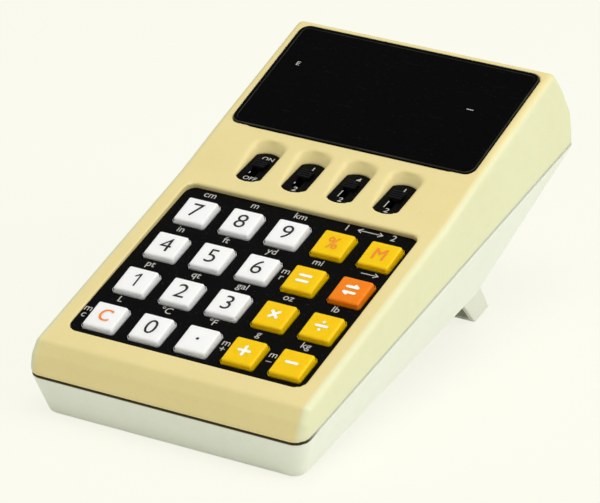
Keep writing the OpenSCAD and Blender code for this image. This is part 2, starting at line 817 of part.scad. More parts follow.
// Rectangular battery with its two snap terminals at the side
module battery() color("#3f5f9a") on_stand() on_slope()
    translate([battery_x, battery_s, door_t + gap + battery_h / 2]) {
        translate([-battery_w / 2, 0, 0]) rotate([0, 90, 0]) linear_extrude(battery_w)
            round_rect(battery_h, battery_l, 2);
        for (side = [-1, 1]) translate([battery_w / 2 - thin, side * terminal_gap, 0]) rotate([0, 90, 0])
            cylinder(h = terminal_h, r = terminal_r[side > 0 ? 1 : 0]);
    }

module battery_snap() color("#1f1f22") on_stand() on_slope()
    translate([snap_x, battery_s, door_t + gap + battery_h / 2]) rotate([0, 90, 0])
        difference() {
            linear_extrude(snap_t) round_rect(snap_size[0], snap_size[1], 2);
            for (side = [-1, 1]) translate([0, side * terminal_gap, -1])
                cylinder(h = terminal_h + 1.2, r = terminal_r[side > 0 ? 1 : 0] + pin_gap);
        }

// Way that a route runs at one of its points
function unit(v) = v / norm(v);
function heading(points, i) = unit(
    (i > 0 ? unit(points[i] - points[i - 1]) : [0, 0, 0])
    + (i < len(points) - 1 ? unit(points[i + 1] - points[i]) : [0, 0, 0])
);

// A lead of round wire: a ring of points at each point of its route, joined by triangles
module wire(points, r) {
    sides = 8;
    turn = 360 / sides;
    last = len(points) - 1;
    rings = [
        for (i = [0 : last])
            let (t = heading(points, i), u = unit(cross(t, wire_side)), v = cross(t, u))
                for (k = [0 : sides - 1]) points[i] + r * (cos(k * turn) * u + sin(k * turn) * v)
    ];
    skin = [
        for (i = [0 : last - 1], k = [0 : sides - 1])
            let (a = i * sides + k, b = i * sides + (k + 1) % sides)
                each [[a, b + sides, b], [a, a + sides, b + sides]]
    ];
    ends = [[for (k = [0 : sides - 1]) k], [for (k = [sides - 1 : -1 : 0]) last * sides + k]];
    polyhedron(rings, concat(skin, ends));
}

module battery_leads() color("#9b2b26") on_stand() {
    for (side = [-1, 1]) {
        s = battery_s + side * lead_apart;
        h = door_t + gap + battery_h / 2;
        y = base_len + s * cos(rear_slope) - h * sin(rear_slope);
        z = base_chamfer + s * sin(rear_slope) + h * cos(rear_slope);
        x = snap_x + snap_t;
        land = window_y - lead_land;
        foot = [x + lead_out + side * lead_apart / 2, land, board_z(land, board_drop)];
        rise = lead_rise * [0, -sin(panel_slope), cos(panel_slope)];
        wire([[x, y, z], [x + lead_out, y, z], [x + lead_out, y, z] + lead_climb,
            foot + lead_bend, foot + rise, foot], lead_r);
    }
}

upper_case();
lower_case();
display_window();
keypad_panel();
for (row = [0 : key_rows - 1], col = [0 : key_cols - 1])
    key(row, col);
key_domes();
main_board();
processor_chip();
circuit_parts();
switch_plate();
for (i = [0 : switch_count - 1])
    switch_knob(i);
switch_bodies();
display_board();
display_tube();
ribbon_cable();
tilt_stand();
stand_pin();
battery_door();
battery();
battery_snap();
battery_leads();
case_screws();
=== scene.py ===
import json
import math
from contextlib import contextmanager

import bmesh
import bpy
from bpy.props import FloatProperty, FloatVectorProperty, PointerProperty
from mathutils import Matrix, Vector


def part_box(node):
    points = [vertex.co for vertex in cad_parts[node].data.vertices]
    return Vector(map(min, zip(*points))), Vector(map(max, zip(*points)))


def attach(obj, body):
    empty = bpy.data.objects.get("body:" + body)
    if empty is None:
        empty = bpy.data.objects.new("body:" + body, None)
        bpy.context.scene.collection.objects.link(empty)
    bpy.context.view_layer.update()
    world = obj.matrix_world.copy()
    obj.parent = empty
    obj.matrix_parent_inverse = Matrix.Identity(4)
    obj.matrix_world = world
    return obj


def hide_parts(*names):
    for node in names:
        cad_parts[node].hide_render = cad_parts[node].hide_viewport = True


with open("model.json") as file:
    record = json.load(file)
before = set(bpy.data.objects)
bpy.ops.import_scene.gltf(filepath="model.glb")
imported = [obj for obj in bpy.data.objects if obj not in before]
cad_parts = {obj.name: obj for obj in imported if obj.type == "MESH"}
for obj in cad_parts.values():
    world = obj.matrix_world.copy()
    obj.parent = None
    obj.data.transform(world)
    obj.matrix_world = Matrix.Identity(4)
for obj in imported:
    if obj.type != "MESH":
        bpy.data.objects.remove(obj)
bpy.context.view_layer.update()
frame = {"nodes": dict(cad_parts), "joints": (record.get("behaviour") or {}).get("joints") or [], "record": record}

bl_info = {
    "name": "Desk Calculator Looks",
    "version": (1, 0, 0),
    "blender": (4, 5, 0),
    "location": "View3D > Sidebar > Calculator",
    "description": "Finishes the shells, keys, switches and stand of a desk calculator",
    "category": "Object",
}

MM = 0.001
BODY_OF = {node: body for body, nodes in frame["record"]["behaviour"]["bodies"].items() for node in nodes}
SLOT_OF = {part["node"]: part["material_slot"] for part in frame["record"]["subparts"]}
JOINT_AXIS = {joint["name"]: Vector(joint["axis"]) for joint in frame["joints"]}

# Rows of keys from the rear to the front
KEY_ROWS = (
    ("key_7", "key_8", "key_9", "key_percent", "key_memory"),
    ("key_4", "key_5", "key_6", "key_equals", "key_convert"),
    ("key_1", "key_2", "key_3", "key_times", "key_divide"),
    ("key_clear", "key_0", "key_point", "key_plus", "key_minus"),
)
# Letters and signs in orange
ORANGE_SIGNS = {"key_percent": "%", "key_memory": "M", "key_clear": "C"}
# Unit signs behind the keys, row by row
PANEL_SIGNS = (
    ("cm", "m", "km", "1", "2"),
    ("in", "ft", "yd", "mi", ""),
    ("pt", "qt", "gal", "oz", "lb"),
    ("L", "°C", "°F", "g", "kg"),
)
# Memory signs beside the keys: key, rear sign, front sign
MEMORY_SIGNS = (
    ("key_clear", "m", "c"),
    ("key_equals", "m", "r"),
    ("key_plus", "m", "+"),
    ("key_minus", "m", "–"),
)
# Signs of the slide switches: knob, rear sign, front sign, half the length of the line in millimetres
SWITCH_SIGNS = (
    ("knob_power", "ON", "OFF", 0.3),
    ("knob_system", "1", "2", 0.3),
    ("knob_places", "4", "2", 1.5),
    ("knob_mile", "1", "2", 1.5),
)
ACROSS = Vector((1, 0, 0))
ALONG = Vector((0, 1, 0))
# Height of a capital letter at a font size of 1
CAPITAL = 0.682


def linear(red, green, blue):
    """Linear colour of a screen colour given from 0 to 255."""
    shares = (red / 255, green / 255, blue / 255)
    return tuple(s / 12.92 if s <= 0.04045 else ((s + 0.055) / 1.055) ** 2.4 for s in shares)


def colour(name, description, red, green, blue):
    """A colour that a user may change, given as a screen colour."""
    return FloatVectorProperty(name=name, description=description, subtype="COLOR", size=3, min=0, max=1,
                               default=linear(red, green, blue))


def length(name, description, size):
    """A length that a user may change, given in millimetres."""
    return FloatProperty(name=name, description=description, unit="LENGTH", min=0, precision=5,
                         default=size * MM)


def angle(name, description, degrees):
    """An angle that a user may change, given in degrees."""
    return FloatProperty(name=name, description=description, subtype="ANGLE", default=math.radians(degrees))


def power(name, description, watts):
    """The power of a light that a user may change."""
    return FloatProperty(name=name, description=description, unit="POWER", default=watts)


def share(name, description, value, top=1.0):
    """A plain number from 0 to a top value that a user may change."""
    return FloatProperty(name=name, description=description, subtype="FACTOR", min=0, max=top, default=value)


class CaseLook(bpy.types.PropertyGroup):
    """Colours and edges of the moulded case."""

    cream: colour("Cream", "Colour of the upper shell", 236, 220, 156)
    # Painted sheen: the flank colour makes the sides paler, in place of the light that they catch from the right
    # and from the floor
    flank_sheen: colour("Flank", "Colour of the upper shell's sides, which have yellowed less", 230, 231, 190)
    white: colour("White", "Colour of the lower shell and the battery door", 241, 245, 232)
    ivory: colour("Ivory", "Colour of the tilt stand", 238, 241, 226)
    # The groove's colour is mostly painted shadow under the upper shell's overhang, with some grime
    seam_shadow_and_grime: colour("Dirt", "Colour of the grime in the groove between the shells", 62, 52, 20)
    voxel: length("Voxel", "Voxel of the remesh that rounds the moulded edges", 0.34)
    grain: length("Grain", "Size of the moulded grain", 0.35)
    bevel: length("Bevel", "Rounding of the edges of small mouldings", 0.14)


class KeyLook(bpy.types.PropertyGroup):
    """Colours and forms of the keys."""

    white: colour("White", "Colour of the digit keys", 253, 253, 249)
    yellow: colour("Yellow", "Colour of the function keys", 255, 203, 2)
    orange: colour("Orange", "Colour of the conversion key", 250, 134, 16)
    flange: length("Flange", "How far the hidden flange reaches past the foot", 0.6)
    foot: length("Foot", "Height of the foot above the panel", 0.4)
    rim: length("Rim", "Width of the rim of the foot", 0.1)
    groove: length("Groove", "Width of the groove between the rim and the cap", 0.22)
    depth: length("Depth", "Depth of that groove", 0.5)
    shift: length("Shift", "How far the cap sits to the right and to the front of its foot", 0.1)
    draft: length("Draft", "How far each side of the cap is drawn in", 0.17)
    corner: length("Corner", "Radius of the upright corners of the foot", 1.0)
    crown: length("Crown", "Radius of the edge round the top", 0.56)
    top: length("Top", "Height of the rear edge of the top above the panel", 2.0)
    fall: length("Fall", "How much lower the top is at the front", 0.6)


class PrintLook(bpy.types.PropertyGroup):
    """Sizes and colours of the printed signs."""

    digit: length("Digit height", "Height of the digits on the keys", 5.3)
    thin: share("Thin", "How much thinner the digits are than the plain font, as a share of its size", 0.004)
    fine: length("Fine", "Width of the strokes of the digits", 0.52)
    arm: length("Arm", "Half the length of the bars of the function signs", 1.65)
    stroke: length("Stroke", "Width of those bars", 0.95)
    unit: length("Unit height", "Height of the capitals of the unit signs on the panel", 2.4)
    line: length("Line", "Width of the lines and arrows on the panel, the pads and the window", 0.28)
    small: length("Small height", "Height of the words on the pads and of the letter on the window", 1.6)
    ink: length("Ink", "Thickness of the print", 0.03)
    black: colour("Black ink", "Ink of the digits", 28, 26, 26)
    white: colour("White ink", "Ink of the function signs", 250, 248, 240)
    orange: colour("Orange ink", "Ink of the worn signs", 243, 138, 44)
    grey: colour("Grey ink", "Ink of the signs on the panel, the pads and the window", 196, 194, 186)


class StageLook(bpy.types.PropertyGroup):
    """Floor, light and camera."""

    paper: colour("Paper", "Colour of the floor", 252, 252, 240)
    glow: share("Glow", "Share of the floor that the camera sees as plain paper", 0.85)
    world: share("World", "Strength of the even light", 0.42, 4)
    main: power("Main light", "Power of the light from the right", 8.8)
    top: power("Top light", "Power of the light from above", 13.5)
    azimuth: angle("Azimuth", "Turn of the camera round the object", 31.333)
    elevation: angle("Elevation", "Height of the camera over the horizon", 23.441)
    distance: length("Distance", "Distance of the camera from the middle of the base", 1301.451)
    aside: length("Aside", "How far the picture's middle lies to the left of the base's middle", 2.243)
    above: length("Above", "How far the picture's middle lies above the base's middle", 28.63)
    lens: FloatProperty(name="Lens", description="Focal length in millimetres", unit="CAMERA", default=270)


class CalculatorLook(bpy.types.PropertyGroup):
    """All sizes and colours of the looks."""

    case: PointerProperty(type=CaseLook)
    keys: PointerProperty(type=KeyLook)
    prints: PointerProperty(type=PrintLook)
    stage: PointerProperty(type=StageLook)


# Places on the object

# Least height of a normal that looks up
LOOKS_UP = 0.5
# A width too small to be seen
HAIR = 0.01 * MM


class Seat:
    """A flat place on a node, and the ways across and along it.

    Its origin is the middle of the node's uppermost side along a normal.
    """

    def __init__(self, node, normal):
        self.normal = normal.normalized()
        self.across = ACROSS
        self.along = self.normal.cross(self.across)
        points = [vertex.co for vertex in frame["nodes"][node].data.vertices]
        ways = (self.across, self.along, self.normal)
        spans = [[point.dot(way) for point in points] for way in ways]
        self.size = Vector([max(span) - min(span) for span in spans])
        middle = [(max(span) + min(span)) / 2 for span in spans[:2]]
        self.origin = self.across * middle[0] + self.along * middle[1] + self.normal * max(spans[2])

    def at(self, x=0.0, y=0.0, z=0.0):
        """The matrix that sets a flat piece down at a point of the seat."""
        turn = Matrix((self.across, self.along, self.normal)).transposed().to_4x4()
        return Matrix.Translation(self.origin + self.across * x + self.along * y + self.normal * z) @ turn

    def where(self, point):
        """A point's place on the seat."""
        step = point - self.origin
        return Vector((step.dot(self.across), step.dot(self.along), step.dot(self.normal)))


def broad_normal(node):
    """Normal of the largest flat side of a node that looks up."""
    areas = {}
    for face in frame["nodes"][node].data.polygons:
        if face.normal.z > LOOKS_UP:
            way = tuple(round(part, 3) for part in face.normal)
            areas[way] = areas.get(way, 0) + face.area
    return Vector(max(areas, key=areas.get))


PANEL_NORMAL = -JOINT_AXIS["key_7_press"]
PAD_NORMAL = ACROSS.cross(-JOINT_AXIS["knob_power_slide"])


def parting_plane():
    """Normal of the plane where the two shells meet, and its distance from the origin."""
    points = [vertex.co for vertex in frame["nodes"]["upper_case"].data.vertices]
    edge = max(point.x for point in points) - HAIR
    side = [point for point in points if point.x > edge]
    front = min(side, key=lambda point: point.z)
    rear = max(side, key=lambda point: point.y)
    normal = ACROSS.cross(rear - front).normalized()
    return normal, normal.dot(front)


# Modelling by hand

# How far a level face or edge may be off its height, and the least share of height in an upright edge
SLACK = 0.001 * MM
UPRIGHT = 0.9
# Distances at which corners merge, on a copy of a node and on a print
MERGE = 1e-6
PRINT_MERGE = 1e-7
# Angles in degrees: sides that are one flat side, edges that a bevel rounds, and edges that stay sharp
FLAT_ANGLE = 1
BEVEL_ANGLE = 40
SHARP_ANGLE = 35
MOULDED_SHARP_ANGLE = 50
# How much the size of a face counts in its shading, of 100
FACE_WEIGHT = 80
BEVEL_STEPS = 3
# How far one round of smoothing moves a point
SMOOTHING = 0.5
# Prints: steps of a curve, how high a print lies and how far crossing bars lie apart, as shares of the ink
CURVE_STEPS = 5
INK_LIFT = 1 / 4
INK_STEP = 1 / 8
# Round ends of a bar, as a share of its width, and turn of the sides of an arrow's head
ROUND_END = 0.49
ROUND_STEPS = 6
HEAD_TURN = 0.6


def alone(piece=None):
    """Leaves nothing selected, or one piece, which is then the active one."""
    bpy.ops.object.select_all(action="DESELECT")
    if piece:
        bpy.context.view_layer.objects.active = piece
        piece.select_set(True)


@contextmanager
def editing(piece, kind="FACE"):
    """Edit mode on one piece, with nothing selected at the start."""
    alone(piece)
    bpy.ops.object.mode_set(mode="EDIT")
    bpy.ops.mesh.select_mode(type=kind)
    bpy.ops.mesh.select_all(action="DESELECT")
    yield
    bpy.ops.object.mode_set(mode="OBJECT")


def pick_faces(piece, wanted):
    """Selects the faces whose middle and normal are wanted, and nothing else."""
    mesh = bmesh.from_edit_mesh(piece.data)
    for face in mesh.faces:
        face.select_set(wanted(face.calc_center_median(), face.normal))
    bmesh.update_edit_mesh(piece.data)


def round_edges(piece, wanted, radius, steps):
    """Bevels the edges whose two ends are wanted, and nothing else."""
    mesh = bmesh.from_edit_mesh(piece.data)
    for edge in mesh.edges:
        edge.select_set(wanted(edge.verts[0].co, edge.verts[1].co))
    mesh.select_flush(False)
    bmesh.update_edit_mesh(piece.data)
    bpy.ops.mesh.bevel(offset=radius, segments=steps, affect="EDGES")


def merge(piece, distance):
    """Merges the corners of a piece that lie within a distance."""
    with editing(piece):
        bpy.ops.mesh.select_all(action="SELECT")
        bpy.ops.mesh.remove_doubles(threshold=distance)


def level(height):
    """Wanted faces, by their middle, at a height and looking up or down."""
    return lambda middle, normal: abs(middle.z - height) < SLACK and abs(normal.z) > UPRIGHT


def upright(start, end):
    """Wanted edges that stand upright."""
    return abs(start.z - end.z) > UPRIGHT * (start - end).length


def level_edge(height):
    """Wanted edges that lie at a height."""
    return lambda start, end: abs(start.z - height) < SLACK and abs(end.z - height) < SLACK


def apply_modifier(piece, kind, **settings):
    """Adds a modifier, sets it and applies it."""
    alone(piece)
    modifier = piece.modifiers.new(kind.lower(), kind)
    for name, value in settings.items():
        setattr(modifier, name, value)
    bpy.ops.object.modifier_apply(modifier=modifier.name)


def smooth(piece):
    """Smooth shading up to an angle, with flat sides kept flat."""
    alone(piece)
    bpy.ops.object.shade_smooth_by_angle(angle=math.radians(SHARP_ANGLE))
    apply_modifier(piece, "WEIGHTED_NORMAL", keep_sharp=True, weight=FACE_WEIGHT)


def block(name, size, low):
    """A block of a size that starts at a height, to be shaped."""
    alone()
    bpy.ops.mesh.primitive_cube_add(size=1, location=(0, 0, low + size[2] / 2), scale=size)
    bpy.ops.object.transform_apply(location=True, rotation=True, scale=True)
    piece = bpy.context.object
    piece.name = name
    return piece


def grow(up):
    """Extrudes the selected faces up or down."""
    bpy.ops.mesh.extrude_region_move(TRANSFORM_OT_translate={"value": (0, 0, up)})


def merged_copy(node, name):
    """A copy of a node's mesh with its loose triangles merged."""
    source = frame["nodes"][node]
    piece = bpy.data.objects.new(name, source.data.copy())
    bpy.context.scene.collection.objects.link(piece)
    piece.data.materials.clear()
    merge(piece, MERGE)
    return piece


def bevelled_copy(node, name, bevel):
    """A merged copy of a plain node, with its sharp edges rounded."""
    piece = merged_copy(node, name)
    with editing(piece):
        bpy.ops.mesh.select_all(action="SELECT")
        bpy.ops.mesh.dissolve_limited(angle_limit=math.radians(FLAT_ANGLE))
    apply_modifier(piece, "BEVEL", width=bevel, segments=BEVEL_STEPS, limit_method="ANGLE",
                   angle_limit=math.radians(BEVEL_ANGLE), use_clamp_overlap=True)
    smooth(piece)
    return piece


def moulded_copy(node, name, voxel, triangles, rounds=6, softer=None):
    """A copy of a shell remade in small voxels and smoothed, so that its edges are as soft as moulded ones.

    softer is the weight of the points that are smoothed further, and for how many rounds.
    """
    piece = merged_copy(node, name)
    apply_modifier(piece, "REMESH", mode="VOXEL", voxel_size=voxel)
    apply_modifier(piece, "SMOOTH", factor=SMOOTHING, iterations=rounds)
    if softer:
        soften(piece, *softer)
    count = 2 * len(piece.data.polygons)
    if count > triangles:
        apply_modifier(piece, "DECIMATE", ratio=triangles / count)
    alone(piece)
    bpy.ops.object.shade_smooth_by_angle(angle=math.radians(MOULDED_SHARP_ANGLE))
    return piece


def soften(piece, weight, rounds):
    """Smooths a piece where a weight of a point says so, from 0 to 1."""
    group = piece.vertex_groups.new(name="soft")
    for vertex in piece.data.vertices:
        amount = weight(vertex.co)
        if amount > 0:
            group.add([vertex.index], min(amount, 1), "REPLACE")
    apply_modifier(piece, "SMOOTH", factor=SMOOTHING, iterations=rounds, vertex_group=group.name)
    piece.vertex_groups.clear()


def stands_for(piece, node, material):
    """The piece takes a node's place, rides on its body and gets its finish."""
    piece.data.materials.clear()
    piece.data.materials.append(material)
    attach(piece, BODY_OF[node])
    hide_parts(node)


def small_piece(node, name, bevel, material):
    """A bevelled copy of a plain node that takes the node's place."""
    stands_for(bevelled_copy(node, name, bevel), node, material)


def printed_on(sign, node, ink):
    """The sign rides on the body of the node that it is printed on, and gets its ink."""
    sign.data.materials.append(ink)
    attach(sign, BODY_OF[node])


def finish_node(node, material):
    """Gives a node that shows as it is its finish."""
    body = frame["nodes"][node].data
    body.materials.clear()
    body.materials.append(material)


def printed(words, place, capital, ink, wide=1.0, thin=0.0):
    """Flat printed words with capitals of a height, centred on a place and standing a hair above it."""
    alone()
    bpy.ops.object.text_add()
    piece = bpy.context.object
    piece.data.body = words
    piece.data.resolution_u = CURVE_STEPS
    piece.data.offset = -thin
    bpy.ops.object.convert(target="MESH")
    across = [vertex.co.x for vertex in piece.data.vertices]
    middle = Vector(((min(across) + max(across)) / 2, CAPITAL / 2, 0))
    scale = capital / CAPITAL
    piece.data.transform(place @ Matrix.Diagonal((scale * wide, scale, 1, 1)) @ Matrix.Translation(-middle))
    merge(piece, PRINT_MERGE)
    apply_modifier(piece, "SOLIDIFY", thickness=ink, offset=0)
    return piece


def bars(lines, place, width, ink):
    """Flat printed bars with round ends, each a hair above the last so that they may cross."""
    return [bar(ends, place @ Matrix.Translation((0, 0, step * ink * INK_STEP)), width, ink)
            for step, ends in enumerate(lines)]


def bar(ends, place, width, ink):
    """A flat printed bar with round ends between two points, or a dot where both are one."""
    start, end = (Vector(point) for point in ends)
    step = end - start
    piece = block("bar", (step.length + width, width, ink), -ink / 2)
    with editing(piece, "EDGE"):
        round_edges(piece, upright, ROUND_END * width, ROUND_STEPS)
    turn = Matrix.Rotation(math.atan2(step.y, step.x), 4, "Z")
    piece.data.transform(place @ Matrix.Translation(((start + end) / 2).to_3d()) @ turn)
    return piece


def arrow(tail, tip, head):
    """The bars of an arrow: its shaft and the two sides of its head."""
    tail, tip = Vector(tail), Vector(tip)
    back = (tail - tip).normalized() * head
    sides = (Matrix.Rotation(turn, 2) @ back for turn in (-HEAD_TURN, HEAD_TURN))
    return [(tail, tip)] + [(tip, tip + side) for side in sides]


def joined(pieces, name):
    """One piece made of several."""
    alone(pieces[0])
    for piece in pieces[1:]:
        piece.select_set(True)
    bpy.ops.object.join()
    pieces[0].name = name
    return pieces[0]


def mark(piece, name, wanted):
    """Stores where a finish changes: 1 on the faces whose middle is wanted, and 0 on the rest."""
    layer = piece.data.attributes.new(name, "FLOAT", "FACE")
    for face, value in zip(piece.data.polygons, layer.data):
        value.value = float(wanted(face.center))


# Finishes

# Tints laid over a colour: yellowing, handling and specks from age and wear, a darkening in concave creases, and
# painted shadow in the keys' grooves
YELLOWED = (0.97, 0.965, 0.94)
HANDLED = (0.97, 0.955, 0.91)
SPECK = (0.6, 0.55, 0.45)
CREASE_TINT = (0.7, 0.64, 0.5)
KEY_YELLOWED = (0.985, 0.98, 0.955)
KEY_SPECK = (0.55, 0.5, 0.42)
KEY_GROOVE_SHADOW = (0.012, 0.01, 0.008)
# Colours of dust and of the window
LINT = (0.32, 0.31, 0.28)
WINDOW_BLACK = (0.0008, 0.0008, 0.0008)
WINDOW_DUST = (0.35, 0.34, 0.3)
WINDOW_SCRATCH = (0.2, 0.2, 0.2)
# Painted highlight: grey on the window's chamfer and rim step, as if they caught the light
WINDOW_EDGE_HIGHLIGHT = (0.06, 0.06, 0.055)
# Hair scratches: how they are drawn out and turned, and their number in a metre
SCRATCH_DRAWN = (1, 14, 14)
SCRATCH_TURN = (0, 0, 0.5)
SCRATCH_SCALE = 110
# Painted shadow and grime in the groove: span of its lower edge as shares of its height, and the share that the
# rear lacks
SEAM_EDGE = (-1.5, -1.2)
SEAM_LACK = 0.75
# Light that shines through the keys: how much, and how deep
KEY_GLOW = 0.6
KEY_GLOW_DEPTH = 2.5 * MM


class Value:
    """A shader socket. Arithmetic on it adds Math nodes to its material."""

    def __init__(self, finish, socket):
        self.finish = finish
        self.socket = socket

    def sum(self, operation, left, right):
        """The result of a Math node on two values."""
        return self.finish.add("ShaderNodeMath", {"operation": operation}, {0: left, 1: right})

    def __add__(self, other):
        return self.sum("ADD", self, other)

    def __radd__(self, other):
        return self.sum("ADD", other, self)

    def __sub__(self, other):
        return self.sum("SUBTRACT", self, other)

    def __rsub__(self, other):
        return self.sum("SUBTRACT", other, self)

    def __mul__(self, other):
        return self.sum("MULTIPLY", self, other)

    def __rmul__(self, other):
        return self.sum("MULTIPLY", other, self)

    def __abs__(self):
        return self.finish.add("ShaderNodeMath", {"operation": "ABSOLUTE"}, {0: self})

    def above(self, low, high):
        """This value's share of the way from low to high, from 0 to 1."""
        return self.finish.add("ShaderNodeMapRange", {"clamp": True},
                               {"Value": self, "From Min": low, "From Max": high})


class Finish:
    """A material that is built up node by node."""

    def __init__(self, name):
        self.material = bpy.data.materials.new(name)
        self.material.use_nodes = True
        self.tree = self.material.node_tree
        self.tree.nodes.clear()

    def add(self, kind, settings=None, sockets=None, out=0):
        """Adds a node: its settings first, then its sockets' values or links. Gives one of its outputs."""
        node = self.tree.nodes.new(kind)
        for name, value in (settings or {}).items():
            setattr(node, name, value)
        for name, value in (sockets or {}).items():
            if isinstance(value, Value):
                self.tree.links.new(value.socket, node.inputs[name])
            else:
                node.inputs[name].default_value = value
        return Value(self, node.outputs[out])

    def mix(self, amount, first, second):
        """A colour between two colours."""
        return self.blend("MIX", amount, first, second)

    def stain(self, amount, tone, tint):
        """A colour with an amount of a tint over it, as of a thin stain."""
        return self.blend("MULTIPLY", amount, tone, tint)

    def blend(self, kind, amount, first, second):
        """A colour blended from two colours in a way that Mix knows."""
        sides = {name: side if isinstance(side, Value) else (*side, 1)
                 for name, side in ((6, first), (7, second))}
        settings = {"data_type": "RGBA", "blend_type": kind}
        return self.add("ShaderNodeMix", settings, {0: amount, **sides}, out=2)

    def along(self, way):
        """Distance from the origin along a direction, fixed to the piece."""
        where = self.add("ShaderNodeTexCoord", out="Object")
        return self.add("ShaderNodeVectorMath", {"operation": "DOT_PRODUCT"},
                        {0: where, 1: tuple(way)}, out="Value")

    def attribute(self, name):
        """What mark stored on the piece's faces."""
        return self.add("ShaderNodeAttribute", {"attribute_name": name}, out="Fac")

    def noise(self, size, detail, rough=0.5):
        """Cloudy noise from 0 to 1 with marks of a size in metres, fixed to the piece."""
        where = self.add("ShaderNodeTexCoord", out="Object")
        return self.add("ShaderNodeTexNoise", None,
                        {"Vector": where, "Scale": 1 / size, "Detail": detail, "Roughness": rough})

    def surface(self, **sockets):
        """Ends the material in one shader with these sockets, named with _ for a space."""
        named = {name.replace("_", " "): value for name, value in sockets.items()}
        shader = self.add("ShaderNodeBsdfPrincipled", None, named)
        self.add_output(shader)
        return self.material

    def add_output(self, shader):
        """Ends the material in a shader."""
        output = self.tree.nodes.new("ShaderNodeOutputMaterial")
        self.tree.links.new(shader.socket, output.inputs["Surface"])

    def bump(self, height, depth, strength):
        """A normal pushed in and out by a height from 0 to 1, over a depth in metres."""
        return self.add("ShaderNodeBump", None, {"Height": height, "Distance": depth, "Strength": strength})


def tint(base, factor):
    """A colour made lighter or darker."""
    return tuple(min(1.0, part * factor) for part in base)


def moulded_plastic(name, base, grain, flank_sheen=None, seam=None):
    """Satin moulded plastic: fine grain, cloudy yellowing, specks, and edges that are worn smooth.

    flank_sheen is the paler colour of the sides, a painted sheen in place of the light that they catch, and the
    span of x over which it starts. seam is the colour of the groove between the shells, mostly painted shadow with
    some grime, the plane it lies under, its height and where it fades to the rear.
    """
    finish = Finish(name)
    cloud = finish.noise(26 * MM, detail=4, rough=0.6)
    patch = finish.noise(5 * MM, detail=3, rough=0.6)
    speck = finish.noise(0.7 * MM, detail=1).above(0.69, 0.75)
    pores = finish.noise(grain, detail=2, rough=0.6)
    edge = finish.add("ShaderNodeNewGeometry", out="Pointiness")
    tone = base
    if flank_sheen:
        side, start, end = flank_sheen
        # Painted sheen: the sides are paler, in place of the light that they catch from the right and from the
        # floor
        tone = finish.mix(abs(finish.along(ACROSS)).above(start, end), base, side)
    tone = finish.stain(cloud.above(0.3, 0.7), tone, YELLOWED)
    tone = finish.stain(patch.above(0.35, 0.75) * 0.5, tone, HANDLED)
    tone = finish.stain(speck * 0.12, tone, SPECK)
    # Darker where the surface is concave, in creases and hollows
    tone = finish.stain((1 - edge).above(0.53, 0.6) * 0.6, tone, CREASE_TINT)
    # Painted shadow with some grime: the groove under the upper shell is dark at the front and fainter to the rear
    if seam:
        seam_shadow_and_grime, (normal, reach), height, fade = seam
        inside = (finish.along(normal) - reach).above(*(step * height for step in SEAM_EDGE))
        front = 1 - SEAM_LACK * finish.along(ALONG).above(*fade)
        tone = finish.mix(inside * front, tone, seam_shadow_and_grime)
    rough = 0.4 + (pores - 0.5) * 0.16 + (patch - 0.5) * 0.1 - edge.above(0.515, 0.57) * 0.1
    return finish.surface(Base_Color=tone, Roughness=rough, Specular_IOR_Level=0.4,
                          Normal=finish.bump(pores, depth=0.04 * MM, strength=0.35))


def key_plastic(name, base):
    """Glossy key plastic: faint clouds, a polished skin, a few specks and a painted shadow in the groove round the
    cap.
    """
    finish = Finish(name)
    cloud = finish.noise(7 * MM, detail=3)
    speck = finish.noise(0.5 * MM, detail=1).above(0.7, 0.76)
    pores = finish.noise(0.25 * MM, detail=2)
    tone = finish.stain(cloud.above(0.3, 0.7), base, KEY_YELLOWED)
    tone = finish.stain(speck * 0.2, tone, KEY_SPECK)
    # Painted shadow: the faces deep in the groove round the cap are painted near black
    tone = finish.stain(finish.attribute("groove"), tone, KEY_GROOVE_SHADOW)
    rough = 0.28 + (cloud - 0.5) * 0.16 + (pores - 0.5) * 0.1
    return finish.surface(Base_Color=tone, Roughness=rough, Specular_IOR_Level=0.2,
                          Subsurface_Weight=KEY_GLOW, Subsurface_Radius=tuple(base),
                          Subsurface_Scale=KEY_GLOW_DEPTH,
                          Normal=finish.bump(pores, depth=0.012 * MM, strength=0.3))


def black_plastic(name, screen, roughness, grain, dust=0.12):
    """Black moulded plastic of a screen colour, with fine grain and specks of dust."""
    finish = Finish(name)
    base = linear(*screen)
    pores = finish.noise(grain, detail=2, rough=0.6)
    cloud = finish.noise(9 * MM, detail=3)
    lint = finish.noise(0.45 * MM, detail=1).above(0.7, 0.77)
    tone = finish.mix(cloud, tint(base, 0.8), tint(base, 1.3))
    tone = finish.mix(lint * dust, tone, LINT)
    rough = roughness + (cloud - 0.5) * 0.16 + (pores - 0.5) * 0.14 + lint * 0.2
    return finish.surface(Base_Color=tone, Roughness=rough, Specular_IOR_Level=0.04,
                          Normal=finish.bump(pores, depth=0.02 * MM, strength=0.3))


